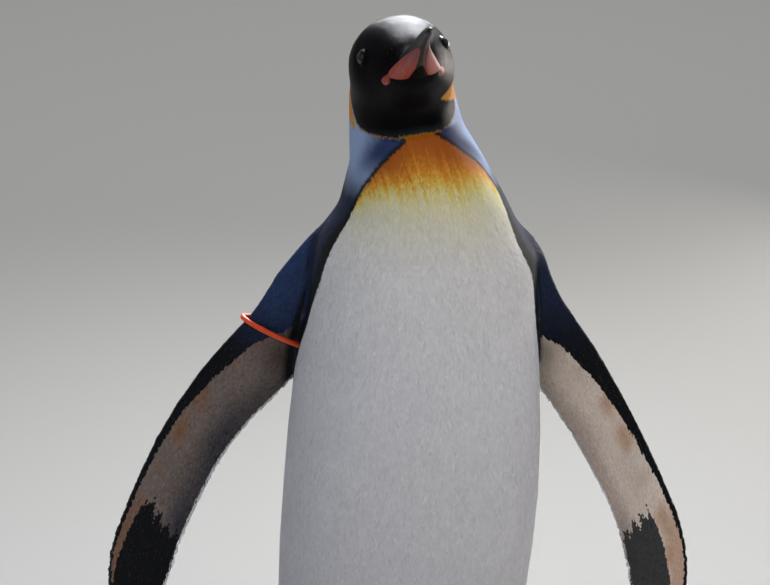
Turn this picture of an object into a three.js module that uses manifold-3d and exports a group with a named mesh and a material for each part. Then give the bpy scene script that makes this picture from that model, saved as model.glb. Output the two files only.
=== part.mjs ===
// A king penguin standing with its flippers held out and its bill raised.
// Millimetres, +Z up. The bird faces -Y, its left side is +X, and z = 0 is the floor.
// Every sub-part is a closed solid: the flesh is lofted out to the tips of the coat.

import * as THREE from "three";
import { ParametricGeometry } from "three/addons/geometries/ParametricGeometry.js";
import { mergeVertices } from "three/addons/utils/BufferGeometryUtils.js";
import Module from "manifold-3d";

const wasm = await Module();
wasm.setup();

// ---------------------------------------------------------------- driving dimensions

const GAP = 0.3; // clearance between two pieces that meet
const STANDING_PLACE = new THREE.Vector3(-12, 17, 0); // puts the middle of the outline over the origin
const END_CROWDING = 0.75; // how much a loft's stations gather at its rounded ends

// Trunk and neck: horizontal sections, each with its height, its centre line in x,
// its half width and its reach to the front and to the back.
const BODY_SECTIONS = [
  { z: 84, x: 8, side: 84, front: 56, back: 86 },
  { z: 135, x: 9, side: 99, front: 81, back: 101 },
  { z: 205, x: 12, side: 116, front: 107, back: 105 },
  { z: 300, x: 17, side: 126, front: 121, back: 101 },
  { z: 400, x: 25, side: 128, front: 124, back: 97 },
  { z: 480, x: 29, side: 125, front: 121, back: 94 },
  { z: 550, x: 32, side: 119, front: 115, back: 91 },
  { z: 610, x: 36, side: 110, front: 107, back: 87 },
  { z: 660, x: 36, side: 102, front: 98, back: 81 },
  { z: 710, x: 37, side: 80, front: 88, back: 70 },
  { z: 745, x: 32, side: 66, front: 82, back: 60 },
  { z: 780, x: 21, side: 55, front: 79, back: 52 },
  { z: 825, x: 15, side: 49, front: 76, back: 42 },
  { z: 872, x: 15, side: 45, front: 62, back: 20 },
];
const BODY_BOTTOM = 84;
const BODY_TOP = 872;
const BODY_BOTTOM_ROUNDING = 55;
const BODY_TOP_ROUNDING = 50;
const BODY_SQUARENESS = 2.25; // exponent of the section's superellipse
const NECK_TOP = 797; // height where head and neck are parted
const NECK_BOTTOM = 735; // height where neck and trunk are parted

// Head: lengths run forward from the middle between the eyes.
const HEAD_PLACE = new THREE.Vector3(20, -60, 851);
const HEAD_PITCH = THREE.MathUtils.degToRad(33);
const HEAD_YAW = THREE.MathUtils.degToRad(7.5);
const HEAD_ROLL = THREE.MathUtils.degToRad(8);
const HEAD_SECTIONS = [
  { f: -78, side: 40, top: 40, bottom: -22 },
  { f: -55, side: 45, top: 51, bottom: -32 },
  { f: -30, side: 48.5, top: 58, bottom: -38 },
  { f: -12, side: 47, top: 58, bottom: -39 },
  { f: 3, side: 40, top: 52, bottom: -37 },
  { f: 18, side: 33, top: 40, bottom: -34 },
  { f: 32, side: 25, top: 25, bottom: -29 },
  { f: 46, side: 16, top: 9, bottom: -26 },
];
const HEAD_SQUARENESS = 2.2;
const HEAD_REAR_ROUNDING = 34;
const HEAD_FRONT_ROUNDING = 9;

const EYE_RADIUS = 9;
const EYE_PLACE = { f: 2, l: 33.5, u: 18 };

// Bill: both halves meet along the gape and taper to the tip, which curves down.
const GAPE = [
  { f: 20, u: -7 },
  { f: 75, u: -7.2 },
  { f: 110, u: -8.6 },
  { f: 144, u: -13.5 },
];
const UPPER_BILL_SECTIONS = [
  { f: 20, side: 21, edge: 13 },
  { f: 45, side: 14, edge: 6.5 },
  { f: 75, side: 8, edge: 2.5 },
  { f: 105, side: 5, edge: -2 },
  { f: 130, side: 3.4, edge: -7 },
  { f: 143, side: 2.6, edge: -11 },
];
const LOWER_BILL_SECTIONS = [
  { f: 16, side: 26, edge: -22 },
  { f: 45, side: 18.5, edge: -21.5 },
  { f: 75, side: 10, edge: -17.5 },
  { f: 105, side: 5.2, edge: -14.5 },
  { f: 137, side: 2.6, edge: -15 },
];
const BILL_BASE_ROUNDING = 3;
const BILL_TIP_ROUNDING = 6;
const PLATE_THICKNESS = 1.6;
const PLATE_OVAL = { f: 56, l: 17, u: -14.5, length: 43, width: 16, height: 10 };

// Flippers: centre lines from inside the shoulder to the tip, seen from the front,
// with the blade's setback from the bird's middle plane.
const FLIPPERS = {
  right: {
    sign: -1,
    line: [[-25, 668], [-77, 605], [-117, 546], [-169, 484], [-208, 421], [-253, 309], [-266, 232]],
    setback: [20, 24, 26, 27, 26, 23, 20],
    twist: THREE.MathUtils.degToRad(4),
  },
  left: {
    sign: 1,
    line: [[93, 682], [127, 618], [147, 578], [181, 527], [235, 434], [275, 338], [287, 226]],
    setback: [20, 24, 26, 27, 26, 23, 20],
    twist: THREE.MathUtils.degToRad(20),
  },
};
const FLIPPER_HALF_CHORD = [
  { t: 0, half: 34 },
  { t: 0.17, half: 38 },
  { t: 0.34, half: 39 },
  { t: 0.48, half: 36 },
  { t: 0.64, half: 34.5 },
  { t: 0.85, half: 33.5 },
  { t: 1, half: 26 },
];
const FLIPPER_ROOT_THICKNESS = 15; // half thickness at the shoulder
const FLIPPER_TIP_THICKNESS = 3;
const FLIPPER_TIP_ROUNDING = 0.16; // share of the length that rounds off into the tip
const FLIPPER_ROOT_ROUNDING = 0.05;

// Flipper band: a round ring, slipped over the right upper arm.
const BAND_PLACE = new THREE.Vector3(-97, 25, 568);
const BAND_LEAN = THREE.MathUtils.degToRad(25);
const BAND_HALF_LENGTH = 45;
const BAND_HALF_WIDTH = 16.5;
const BAND_WIRE_RADIUS = 2.6;

// Tail: a wedge of stiff feathers from the rump down to just above the floor.
const TAIL_ROOT = new THREE.Vector3(6, 62, 180);
const TAIL_TIP = new THREE.Vector3(0, 152, 12);
const TAIL_SECTIONS = [
  { t: 0, side: 46, thick: 26 },
  { t: 0.45, side: 42, thick: 16 },
  { t: 0.8, side: 32, thick: 7 },
  { t: 1, side: 22, thick: 3 },
];

// Legs and feet.
const LEG_SPACING = 51; // from the bird's middle to each ankle
const LEG_MIDDLE_X = 9;
const LEG_TOP = 175;
const ANKLE_HEIGHT = 44;
const LEG_BACK = 10;
const LEG_SECTIONS = [
  { z: 40, side: 23, front: 25, back: 26 },
  { z: 70, side: 32, front: 35, back: 34 },
  { z: 105, side: 38, front: 44, back: 42 },
  { z: 175, side: 38, front: 46, back: 44 },
];
const FOOT_SPLAY = THREE.MathUtils.degToRad(11);
const FOOT_BACK = 12;
const TOES = {
  inner: { spread: -27, length: 80, radius: 10 },
  middle: { spread: 0, length: 100, radius: 11 },
  outer: { spread: 28, length: 88, radius: 10 },
};
const TOE_BASE_HEIGHT = 17;
const TOE_TIP_HEIGHT = 6;
const WEB_THICKNESS = 3.2;
const CLAW_LENGTH = 19;
const CLAW_RADIUS = 4;

// ---------------------------------------------------------------- solids

/** Merges a geometry's shared corners, drops its empty triangles and makes it a solid. */
function solidOf(geometry) {
  geometry.deleteAttribute("normal");
  geometry.deleteAttribute("uv");
  const merged = mergeVertices(geometry, 1e-3);
  const corners = merged.index.array;
  const kept = [];
  for (let i = 0; i < corners.length; i += 3) {
    const [a, b, c] = [corners[i], corners[i + 1], corners[i + 2]];
    if (a !== b && b !== c && c !== a) kept.push(a, b, c);
  }
  const points = merged.attributes.position.array;
  if (enclosedVolume(points, kept) < 0) kept.reverse();
  const mesh = new wasm.Mesh({
    numProp: 3,
    vertProperties: new Float32Array(points),
    triVerts: new Uint32Array(kept),
  });
  return new wasm.Manifold(mesh);
}

/** Signed volume inside a triangle list, positive when its faces point out. */
function enclosedVolume(points, corners) {
  const [a, b, c] = [new THREE.Vector3(), new THREE.Vector3(), new THREE.Vector3()];
  let volume = 0;
  for (let i = 0; i < corners.length; i += 3) {
    a.fromArray(points, 3 * corners[i]);
    b.fromArray(points, 3 * corners[i + 1]);
    c.fromArray(points, 3 * corners[i + 2]);
    volume += a.dot(b.cross(c)) / 6;
  }
  return volume;
}

/** Closed loft of pointAt(angle, along, target), whose two ends come to a point. */
function loft(pointAt, around, along, frame = null) {
  const surface = (u, v, target) => pointAt(2 * Math.PI * (u % 1), v, target);
  const geometry = new ParametricGeometry(surface, around, along);
  if (frame) geometry.applyMatrix4(frame);
  return solidOf(geometry);
}

/** Smooth curve through rows of sizes: returns a function of the rows' first key. */
function smooth(rows) {
  const keys = Object.keys(rows[0]);
  const places = rows.map((row) => row[keys[0]]);
  const sizes = rows.flatMap((row) => keys.slice(1).map((key) => row[key]));
  const curve = new THREE.CubicInterpolant(places, sizes, keys.length - 1);
  return (place) => {
    const values = curve.evaluate(place);
    return Object.fromEntries(keys.slice(1).map((key, i) => [key, values[i]]));
  };
}

/** Share of full size near a rounded end: 0 at the end itself, 1 from `rounding` inwards. */
function roundEnd(distance, rounding) {
  const inside = Math.min(Math.max(distance / rounding, 0), 1);
  return Math.sqrt(1 - (1 - inside) ** 2);
}

/** Power of a cosine or sine that keeps its sign, for superellipse sections. */
function squared(value, exponent) {
  return Math.sign(value) * Math.abs(value) ** (2 / exponent);
}

/** Stations from 0 to 1 that crowd together towards both ends. */
function crowdEnds(v) {
  return v - (END_CROWDING * Math.sin(2 * Math.PI * v)) / (2 * Math.PI);
}

/** The lower and the upper part of a solid, parted with a gap at a height. */
function partAt(solid, height) {
  const upper = solid.trimByPlane([0, 0, 1], height + GAP / 2);
  const lower = solid.trimByPlane([0, 0, -1], -(height - GAP / 2));
  return { upper, lower };
}

// ---------------------------------------------------------------- trunk and neck

const bodySection = smooth(BODY_SECTIONS);

/** Trunk and neck in one loft, each section larger by `grow` all round. */
function bodySolid(grow) {
  const bottom = BODY_BOTTOM - grow;
  const top = BODY_TOP + grow;
  const surface = (angle, v, target) => {
    const z = bottom + (top - bottom) * crowdEnds(v);
    const size = bodySection(THREE.MathUtils.clamp(z, BODY_BOTTOM, BODY_TOP));
    const low = roundEnd(z - bottom, BODY_BOTTOM_ROUNDING);
    const high = roundEnd(top - z, BODY_TOP_ROUNDING);
    const share = low * high;
    const across = squared(Math.cos(angle), BODY_SQUARENESS);
    const ahead = squared(Math.sin(angle), BODY_SQUARENESS);
    const depth = ahead > 0 ? size.front : size.back;
    const x = size.x + (size.side + grow) * share * across;
    target.set(x, -(depth + grow) * share * ahead, z);
  };
  return loft(surface, 36, 22);
}

// ---------------------------------------------------------------- head

/** Frame of the head: x forward along the bill, y to the bird's left, z to the crown. */
function headFrame() {
  const forward = new THREE.Vector3(
    Math.sin(HEAD_YAW) * Math.cos(HEAD_PITCH),
    -Math.cos(HEAD_YAW) * Math.cos(HEAD_PITCH),
    Math.sin(HEAD_PITCH),
  );
  const level = new THREE.Vector3(Math.cos(HEAD_YAW), Math.sin(HEAD_YAW), 0);
  const left = level.applyAxisAngle(forward, HEAD_ROLL);
  const up = new THREE.Vector3().crossVectors(forward, left);
  return new THREE.Matrix4().makeBasis(forward, left, up).setPosition(HEAD_PLACE);
}

const HEAD = headFrame();

/** Round skull and face, from the back of the head to the feathers round the bill. */
function skullSolid() {
  const section = smooth(HEAD_SECTIONS);
  const rear = HEAD_SECTIONS[0].f;
  const front = HEAD_SECTIONS.at(-1).f;
  const surface = (angle, v, target) => {
    const f = rear + (front - rear) * crowdEnds(v);
    const size = section(f);
    const share = roundEnd(f - rear, HEAD_REAR_ROUNDING) * roundEnd(front - f, HEAD_FRONT_ROUNDING);
    const middle = (size.top + size.bottom) / 2;
    const half = (size.top - size.bottom) / 2;
    const across = squared(Math.cos(angle), HEAD_SQUARENESS);
    const rise = squared(Math.sin(angle), HEAD_SQUARENESS);
    target.set(f, size.side * share * across, middle + half * share * rise);
  };
  return loft(surface, 28, 15, HEAD);
}

/** One half of the bill: `side` +1 is the upper half, -1 the lower; its mating face is flat. */
function billSolid(sections, side, grow) {
  const section = smooth(sections);
  const gape = smooth(GAPE);
  const base = sections[0].f - grow;
  const tip = sections.at(-1).f + grow;
  const surface = (angle, v, target) => {
    const f = base + (tip - base) * v;
    const size = section(THREE.MathUtils.clamp(f, sections[0].f, sections.at(-1).f));
    const share = roundEnd(f - base, BILL_BASE_ROUNDING) * roundEnd(tip - f, BILL_TIP_ROUNDING);
    const mating = gape(f).u + (side * GAP) / 2;
    const height = Math.abs(size.edge - mating) * Math.max(0, Math.sin(angle));
    const rise = share * (height + grow * Math.sin(angle));
    target.set(f, (size.side + grow) * share * Math.cos(angle), mating + side * rise);
  };
  return loft(surface, 14, 14, HEAD);
}

/** Ball or oval in head coordinates. */
function oval(place, length, width, height, detail) {
  const geometry = new THREE.SphereGeometry(1, detail, detail / 2);
  geometry.scale(length, width, height);
  geometry.translate(place.f, place.l, place.u);
  geometry.applyMatrix4(HEAD);
  return solidOf(geometry);
}

/** Eyeball of one side, +1 left and -1 right. */
function eyeSolid(side, grow) {
  const radius = EYE_RADIUS + grow;
  return oval({ ...EYE_PLACE, l: side * EYE_PLACE.l }, radius, radius, radius, 14);
}

/** Coloured plate that lies along one side of the lower bill. */
function plateSolid(side) {
  const place = { ...PLATE_OVAL, l: side * PLATE_OVAL.l };
  const patch = oval(place, PLATE_OVAL.length, PLATE_OVAL.width, PLATE_OVAL.height, 20);
  const shell = billSolid(LOWER_BILL_SECTIONS, -1, PLATE_THICKNESS + GAP);
  const core = billSolid(LOWER_BILL_SECTIONS, -1, GAP);
  const upper = billSolid(UPPER_BILL_SECTIONS, 1, GAP);
  return patch.intersect(shell).subtract(core).subtract(upper);
}

// ---------------------------------------------------------------- flippers and band

/** Flipper blade: a curved, tapering wing section, thickest just behind its leading edge. */
function flipperSolid({ sign, line, setback, twist }) {
  const places = line.map(([x, z], i) => new THREE.Vector3(x, setback[i], z));
  const curve = new THREE.CatmullRomCurve3(places, false, "centripetal");
  const chordAt = smooth(FLIPPER_HALF_CHORD);
  const backwards = new THREE.Vector3(0, 1, 0);
  const surface = (angle, v, target) => {
    const t = crowdEnds(v);
    const share = roundEnd(t, FLIPPER_ROOT_ROUNDING) * roundEnd(1 - t, FLIPPER_TIP_ROUNDING);
    const along = curve.getTangentAt(t);
    const lead = new THREE.Vector3().crossVectors(along, backwards).multiplyScalar(sign);
    lead.normalize().applyAxisAngle(along, sign * twist);
    const normal = new THREE.Vector3().crossVectors(lead, along).normalize();
    const chord = chordAt(t).half * share * Math.cos(angle);
    const fade = (1 - t) ** 1.6;
    const half = FLIPPER_TIP_THICKNESS + (FLIPPER_ROOT_THICKNESS - FLIPPER_TIP_THICKNESS) * fade;
    const thick = half * share * Math.sin(angle) * (1 + 0.35 * Math.cos(angle));
    target.copy(curve.getPointAt(t));
    target.addScaledVector(lead, chord).addScaledVector(normal, thick);
  };
  return loft(surface, 18, 22);
}

/** Oval ring of round wire in a plane that leans across the upper arm. */
function bandSolid(grow) {
  const radius = BAND_WIRE_RADIUS + grow;
  const slope = new THREE.Vector3(Math.cos(BAND_LEAN), 0, -Math.sin(BAND_LEAN));
  const axis = new THREE.Vector3(Math.sin(BAND_LEAN), 0, Math.cos(BAND_LEAN));
  const back = new THREE.Vector3(0, 1, 0);
  const surface = (u, v, target) => {
    const turn = 2 * Math.PI * (u % 1);
    const round = 2 * Math.PI * (v % 1);
    const reach = radius * Math.cos(round);
    target.copy(BAND_PLACE);
    target.addScaledVector(slope, (BAND_HALF_LENGTH + reach) * Math.cos(turn));
    target.addScaledVector(back, (BAND_HALF_WIDTH + reach) * Math.sin(turn));
    target.addScaledVector(axis, radius * Math.sin(round));
  };
  return solidOf(new ParametricGeometry(surface, 28, 6));
}

// ---------------------------------------------------------------- tail, legs and feet

/** Tail wedge from the rump to its squared tip. */
function tailSolid() {
  const section = smooth(TAIL_SECTIONS);
  const along = new THREE.Vector3().subVectors(TAIL_TIP, TAIL_ROOT).normalize();
  const across = new THREE.Vector3(1, 0, 0);
  const outward = new THREE.Vector3().crossVectors(across, along).normalize();
  const surface = (angle, v, target) => {
    const t = crowdEnds(v);
    const size = section(t);
    const share = roundEnd(t, 0.1) * roundEnd(1 - t, 0.12);
    target.lerpVectors(TAIL_ROOT, TAIL_TIP, t);
    target.addScaledVector(across, size.side * share * squared(Math.cos(angle), 2.6));
    target.addScaledVector(outward, size.thick * share * Math.sin(angle));
  };
  return loft(surface, 20, 12);
}

/** Feathered leg from inside the trunk down to the ankle. */
function legSolid(side) {
  const section = smooth(LEG_SECTIONS);
  const x = LEG_MIDDLE_X + side * LEG_SPACING;
  const surface = (angle, v, target) => {
    const z = ANKLE_HEIGHT + (LEG_TOP - ANKLE_HEIGHT) * crowdEnds(v);
    const size = section(z);
    const share = roundEnd(z - ANKLE_HEIGHT, 5) * roundEnd(LEG_TOP - z, 20);
    const depth = Math.sin(angle) > 0 ? size.front : size.back;
    const y = LEG_BACK - depth * share * Math.sin(angle);
    target.set(x + size.side * share * Math.cos(angle), y, z);
  };
  return loft(surface, 20, 10);
}

/** Frame of one foot: toes point to -Y and a little outwards. */
function footFrame(side) {
  const turn = new THREE.Matrix4().makeRotationZ(side * FOOT_SPLAY);
  return turn.setPosition(LEG_MIDDLE_X + side * LEG_SPACING, FOOT_BACK, 0);
}

/** Direction of a toe in the foot's frame, seen from above. */
function toeDirection(spread) {
  const angle = THREE.MathUtils.degToRad(spread);
  return new THREE.Vector3(Math.sin(angle), -Math.cos(angle), 0);
}

/** One toe: a tapering roll that sinks from the ankle to the floor. */
function toeSolid(toe, frame) {
  const forward = toeDirection(toe.spread);
  const across = new THREE.Vector3(-forward.y, forward.x, 0);
  const surface = (angle, v, target) => {
    const share = roundEnd(v, 0.12) * roundEnd(1 - v, 0.1);
    const radius = toe.radius * (1.25 - 0.5 * v) * share;
    const drop = (1 - v) ** 1.5;
    const centre = TOE_TIP_HEIGHT + (TOE_BASE_HEIGHT - TOE_TIP_HEIGHT) * drop;
    target.copy(forward).multiplyScalar((toe.length + 14) * v - 14);
    target.addScaledVector(across, radius * Math.cos(angle));
    target.z = centre + (radius + 4 * drop * share) * Math.sin(angle);
  };
  return loft(surface, 10, 8, frame);
}

/** Ankle block that joins the toes to the leg. */
function ankleSolid(frame) {
  const surface = (angle, v, target) => {
    const z = 2 + (ANKLE_HEIGHT - GAP - 2) * v;
    const share = roundEnd(v, 0.3) * roundEnd(1 - v, 0.06);
    const lean = 6 * (1 - v);
    target.set(19 * share * Math.cos(angle), -lean - 24 * share * Math.sin(angle), z);
  };
  return loft(surface, 14, 6, frame);
}

/** Web between the toes, with hollowed edges between the toe tips. */
function webSolid(frame, side) {
  const tips = [TOES.inner, TOES.middle, TOES.outer].map((toe) => {
    const forward = toeDirection(side * toe.spread).multiplyScalar(toe.length - 8);
    return new THREE.Vector2(forward.x, forward.y);
  });
  const outline = new THREE.Shape();
  outline.moveTo(0, 14);
  outline.lineTo(tips[0].x, tips[0].y);
  for (const next of [1, 2]) {
    const middle = tips[next - 1].clone().add(tips[next]).multiplyScalar(0.44);
    outline.quadraticCurveTo(middle.x, middle.y, tips[next].x, tips[next].y);
  }
  outline.lineTo(0, 14);
  const settings = { depth: WEB_THICKNESS, bevelEnabled: false, curveSegments: 6 };
  const geometry = new THREE.ExtrudeGeometry(outline, settings);
  geometry.translate(0, 0, 0.6);
  geometry.applyMatrix4(frame);
  return solidOf(geometry);
}

/** Curved claw at the end of a toe. */
function clawSolid(toe, frame, grow) {
  const forward = toeDirection(toe.spread);
  const across = new THREE.Vector3(-forward.y, forward.x, 0);
  const start = toe.length - 7;
  const surface = (angle, v, target) => {
    const share = roundEnd(v, 0.12) * (1 - 0.75 * v) * roundEnd(1 - v, 0.08);
    const radius = (CLAW_RADIUS + grow) * share;
    const centre = toe.clawHeight - (toe.clawHeight - 2.2) * v * v;
    target.copy(forward).multiplyScalar(start + (CLAW_LENGTH + grow) * v);
    target.addScaledVector(across, radius * Math.cos(angle));
    target.z = centre + radius * 0.85 * Math.sin(angle);
  };
  return loft(surface, 6, 5, frame);
}

/** The toes of one side, with their spreads turned to that side. */
function toesOf(side) {
  const toes = Object.entries(TOES).map(([name, toe]) => {
    return { ...toe, name, spread: side * toe.spread, clawHeight: 7 };
  });
  const hallux = { name: "hind", spread: side * -100, length: 19, radius: 5.5, clawHeight: 9 };
  return [...toes, hallux];
}

/** Whole foot, flat underneath, with a socket for each claw. */
function footSolid(side) {
  const frame = footFrame(side);
  let foot = ankleSolid(frame).add(webSolid(frame, side));
  for (const toe of toesOf(side)) foot = foot.add(toeSolid(toe, frame));
  for (const toe of toesOf(side)) foot = foot.subtract(clawSolid(toe, frame, GAP));
  return foot.trimByPlane([0, 0, 1], 0);
}

// ---------------------------------------------------------------- the bird

const PAINT = {
  black: { color: "#0d0e12", roughness: 0.55 },
  slate: { color: "#39424f", roughness: 0.6 },
  silver: { color: "#8d98ac", roughness: 0.6 },
  white: { color: "#d9d7d4", roughness: 0.65 },
  billBlack: { color: "#17161a", roughness: 0.35 },
  plate: { color: "#c4604c", roughness: 0.35 },
  eye: { color: "#3a2313", roughness: 0.1 },
  foot: { color: "#26262a", roughness: 0.5 },
  claw: { color: "#121214", roughness: 0.35 },
  band: { color: "#f0531c", roughness: 0.4 },
};

const penguin = new THREE.Group();
penguin.position.copy(STANDING_PLACE);

/** Adds one solid to the bird as a named mesh with its own material. */
function addPart(name, solid, paint) {
  const mesh = solid.getMesh();
  const geometry = new THREE.BufferGeometry();
  const places = new THREE.BufferAttribute(new Float32Array(mesh.vertProperties), 3);
  geometry.setAttribute("position", places);
  geometry.setIndex(new THREE.BufferAttribute(new Uint32Array(mesh.triVerts), 1));
  geometry.computeVertexNormals();
  const material = new THREE.MeshStandardMaterial({ ...paint, metalness: 0 });
  const part = new THREE.Mesh(geometry, material);
  part.name = name;
  penguin.add(part);
}

const body = bodySolid(0);
const bodyClear = bodySolid(GAP);
const band = bandSolid(0);
const bandClear = bandSolid(GAP);

// Flesh of the middle line, parted at the neck.
const headAndBody = partAt(body.add(skullSolid()), NECK_TOP);
const neckAndTrunk = partAt(headAndBody.lower, NECK_BOTTOM);
const upperBill = billSolid(UPPER_BILL_SECTIONS, 1, 0);
const lowerBill = billSolid(LOWER_BILL_SECTIONS, -1, 0);
const billClear = billSolid(UPPER_BILL_SECTIONS, 1, GAP).add(
  billSolid(LOWER_BILL_SECTIONS, -1, 2 * GAP + PLATE_THICKNESS),
);
let head = headAndBody.upper.subtract(billClear);
for (const side of [1, -1]) head = head.subtract(eyeSolid(side, GAP));
addPart("head", head, PAINT.black);
addPart("neck", neckAndTrunk.upper, PAINT.silver);
addPart("trunk", neckAndTrunk.lower.subtract(bandClear), PAINT.white);
addPart("bill_upper", upperBill, PAINT.billBlack);
addPart("bill_lower", lowerBill, PAINT.billBlack);
addPart("tail", tailSolid().subtract(bodyClear), PAINT.slate);

// Pairs.
for (const [name, side] of [["left", 1], ["right", -1]]) {
  addPart(`eye_${name}`, eyeSolid(side, 0), PAINT.eye);
  addPart(`bill_plate_${name}`, plateSolid(side), PAINT.plate);
  const flipper = flipperSolid(FLIPPERS[name]).subtract(bodyClear).subtract(bandClear);
  addPart(`flipper_${name}`, flipper, PAINT.black);
  const leg = legSolid(side).subtract(bodyClear);
  addPart(`leg_${name}`, leg, PAINT.white);
  addPart(`foot_${name}`, footSolid(side), PAINT.foot);
  const frame = footFrame(side);
  for (const toe of toesOf(side)) {
    addPart(`claw_${name}_${toe.name}`, clawSolid(toe, frame, 0), PAINT.claw);
  }
}
addPart("flipper_band", band, PAINT.band);

export default penguin;
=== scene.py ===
"""King penguin: skin, feathers, bill, eyes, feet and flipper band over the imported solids.

Shapes are worked out in the bird's own millimetres (it faces -Y, its left is +X, the floor
is z = 0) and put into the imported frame, in metres, when a mesh is made.
"""

import sys

import logging
import math
from dataclasses import dataclass
from enum import Enum
from typing import Callable, Optional, Sequence

import bmesh
import bpy
import numpy as np
from mathutils import Matrix, Vector
from mathutils.bvhtree import BVHTree
from mathutils.kdtree import KDTree


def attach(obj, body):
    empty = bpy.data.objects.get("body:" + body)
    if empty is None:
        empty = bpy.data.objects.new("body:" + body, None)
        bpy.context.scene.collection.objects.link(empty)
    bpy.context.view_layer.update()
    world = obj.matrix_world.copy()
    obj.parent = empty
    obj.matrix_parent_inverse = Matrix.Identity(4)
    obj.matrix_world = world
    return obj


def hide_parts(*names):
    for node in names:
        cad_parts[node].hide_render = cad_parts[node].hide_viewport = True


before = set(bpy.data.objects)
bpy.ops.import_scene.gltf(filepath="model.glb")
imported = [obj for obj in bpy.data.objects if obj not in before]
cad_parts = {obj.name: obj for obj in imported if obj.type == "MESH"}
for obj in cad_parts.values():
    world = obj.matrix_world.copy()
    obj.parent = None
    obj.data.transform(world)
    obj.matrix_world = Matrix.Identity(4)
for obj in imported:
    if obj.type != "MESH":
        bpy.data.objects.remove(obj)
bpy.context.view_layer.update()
log = logging.getLogger("penguin")

Array = np.ndarray
Material, Mesh, Piece = bpy.types.Material, bpy.types.Mesh, bpy.types.Object
Node, Socket = bpy.types.Node, bpy.types.NodeSocket
Rgb = tuple[float, float, float]
STANDING = np.array((-0.012, 0.017, 0.0))  # the bird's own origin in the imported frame
EYE_PLACE = (2.0, 33.5, 18.0)  # in the head's own axes: forward, to the side, up
EYE_RADIUS = 9.0
SEED = 20417
BAKE_PATCH = 0.003  # size of a feather on the OFBake map


def to_bird(points: Array) -> Array:
    """Packed metres to the bird's own millimetres."""
    return (np.asarray(points, float) - STANDING) * 1000.0


def to_frame(points: Array) -> Array:
    """The bird's own millimetres to packed metres."""
    return np.asarray(points, float) / 1000.0 + STANDING


def linear(rgb: Sequence[float]) -> Array:
    """Screen colour, 0 to 255, as linear light."""
    share = np.asarray(rgb, float) / 255.0
    return np.where(share <= 0.04045, share / 12.92, ((share + 0.055) / 1.055) ** 2.4)


def unit(vectors: Array) -> Array:
    """Vectors at length one."""
    return vectors / np.maximum(np.linalg.norm(vectors, axis=-1, keepdims=True), 1e-9)


def ease(value: Array, start: float, end: float) -> Array:
    """Smooth step from 0 at start to 1 at end."""
    share = np.clip((value - start) / (end - start), 0.0, 1.0)
    return share * share * (3.0 - 2.0 * share)


def fall(value: Array, start: float, end: float) -> Array:
    """Smooth step from 1 at start to 0 at end."""
    return ease(-value, -end, -start)


def mix(first: Array, second: Array, share: Array) -> Array:
    """Blend of two colour arrays."""
    share = np.asarray(share, float)[..., None]
    return first * (1.0 - share) + second * share


def level(way: Array, normal: Array, share: float = 1.0) -> Array:
    """Directions laid down along a surface, fully or by a share."""
    return unit(way - normal * (way * normal).sum(1, keepdims=True) * share)


def choose(chosen: Array, first: Array, second: Array) -> Array:
    """First colours where chosen, the second ones elsewhere."""
    return np.where(chosen[:, None], first, second)


def round_end(distance: Array, rounding: float) -> Array:
    """Share of full size near a rounded end: 0 at the end, 1 from the rounding inwards."""
    inside = np.clip(distance / rounding, 0.0, 1.0)
    return np.sqrt(1.0 - (1.0 - inside) ** 2)


@dataclass(frozen=True)
class Profile:
    """Sizes that run smoothly along one length.

    Args:
        rows: stations, each its place and then its sizes.
    """

    rows: tuple[tuple[float, ...], ...]

    def at(self, place: Array) -> Array:
        """Sizes at these places.

        Args:
            place: places along the length.

        Returns:
            One row of sizes for each place.
        """
        rows = np.array(self.rows, float)
        x, y = rows[:, 0], rows[:, 1:]
        slope = np.gradient(y, x, axis=0)
        place = np.atleast_1d(np.asarray(place, float))
        i = np.clip(np.searchsorted(x, place) - 1, 0, len(x) - 2)
        step = (x[i + 1] - x[i])[:, None]
        s = np.clip((place - x[i])[:, None] / step, 0.0, 1.0)
        keep = (2 * s**3 - 3 * s**2 + 1) * y[i] + (3 * s**2 - 2 * s**3) * y[i + 1]
        bend = (s**3 - 2 * s**2 + s) * slope[i] + (s**3 - s**2) * slope[i + 1]
        return keep + step * bend


class Part(Enum):
    """Regions of the coat."""

    BODY = 0
    HEAD = 1
    TAIL = 2
    FLIPPER_RIGHT = 3
    FLIPPER_LEFT = 4
    LEG = 5
    BARE = 6


class Side(Enum):
    """Side of the bird, with its sign in x."""

    LEFT = 1
    RIGHT = -1

    @property
    def word(self) -> str:
        """Name used in node names."""
        return self.name.lower()


FLIPPER_PARTS = {Side.RIGHT: Part.FLIPPER_RIGHT, Side.LEFT: Part.FLIPPER_LEFT}


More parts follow.
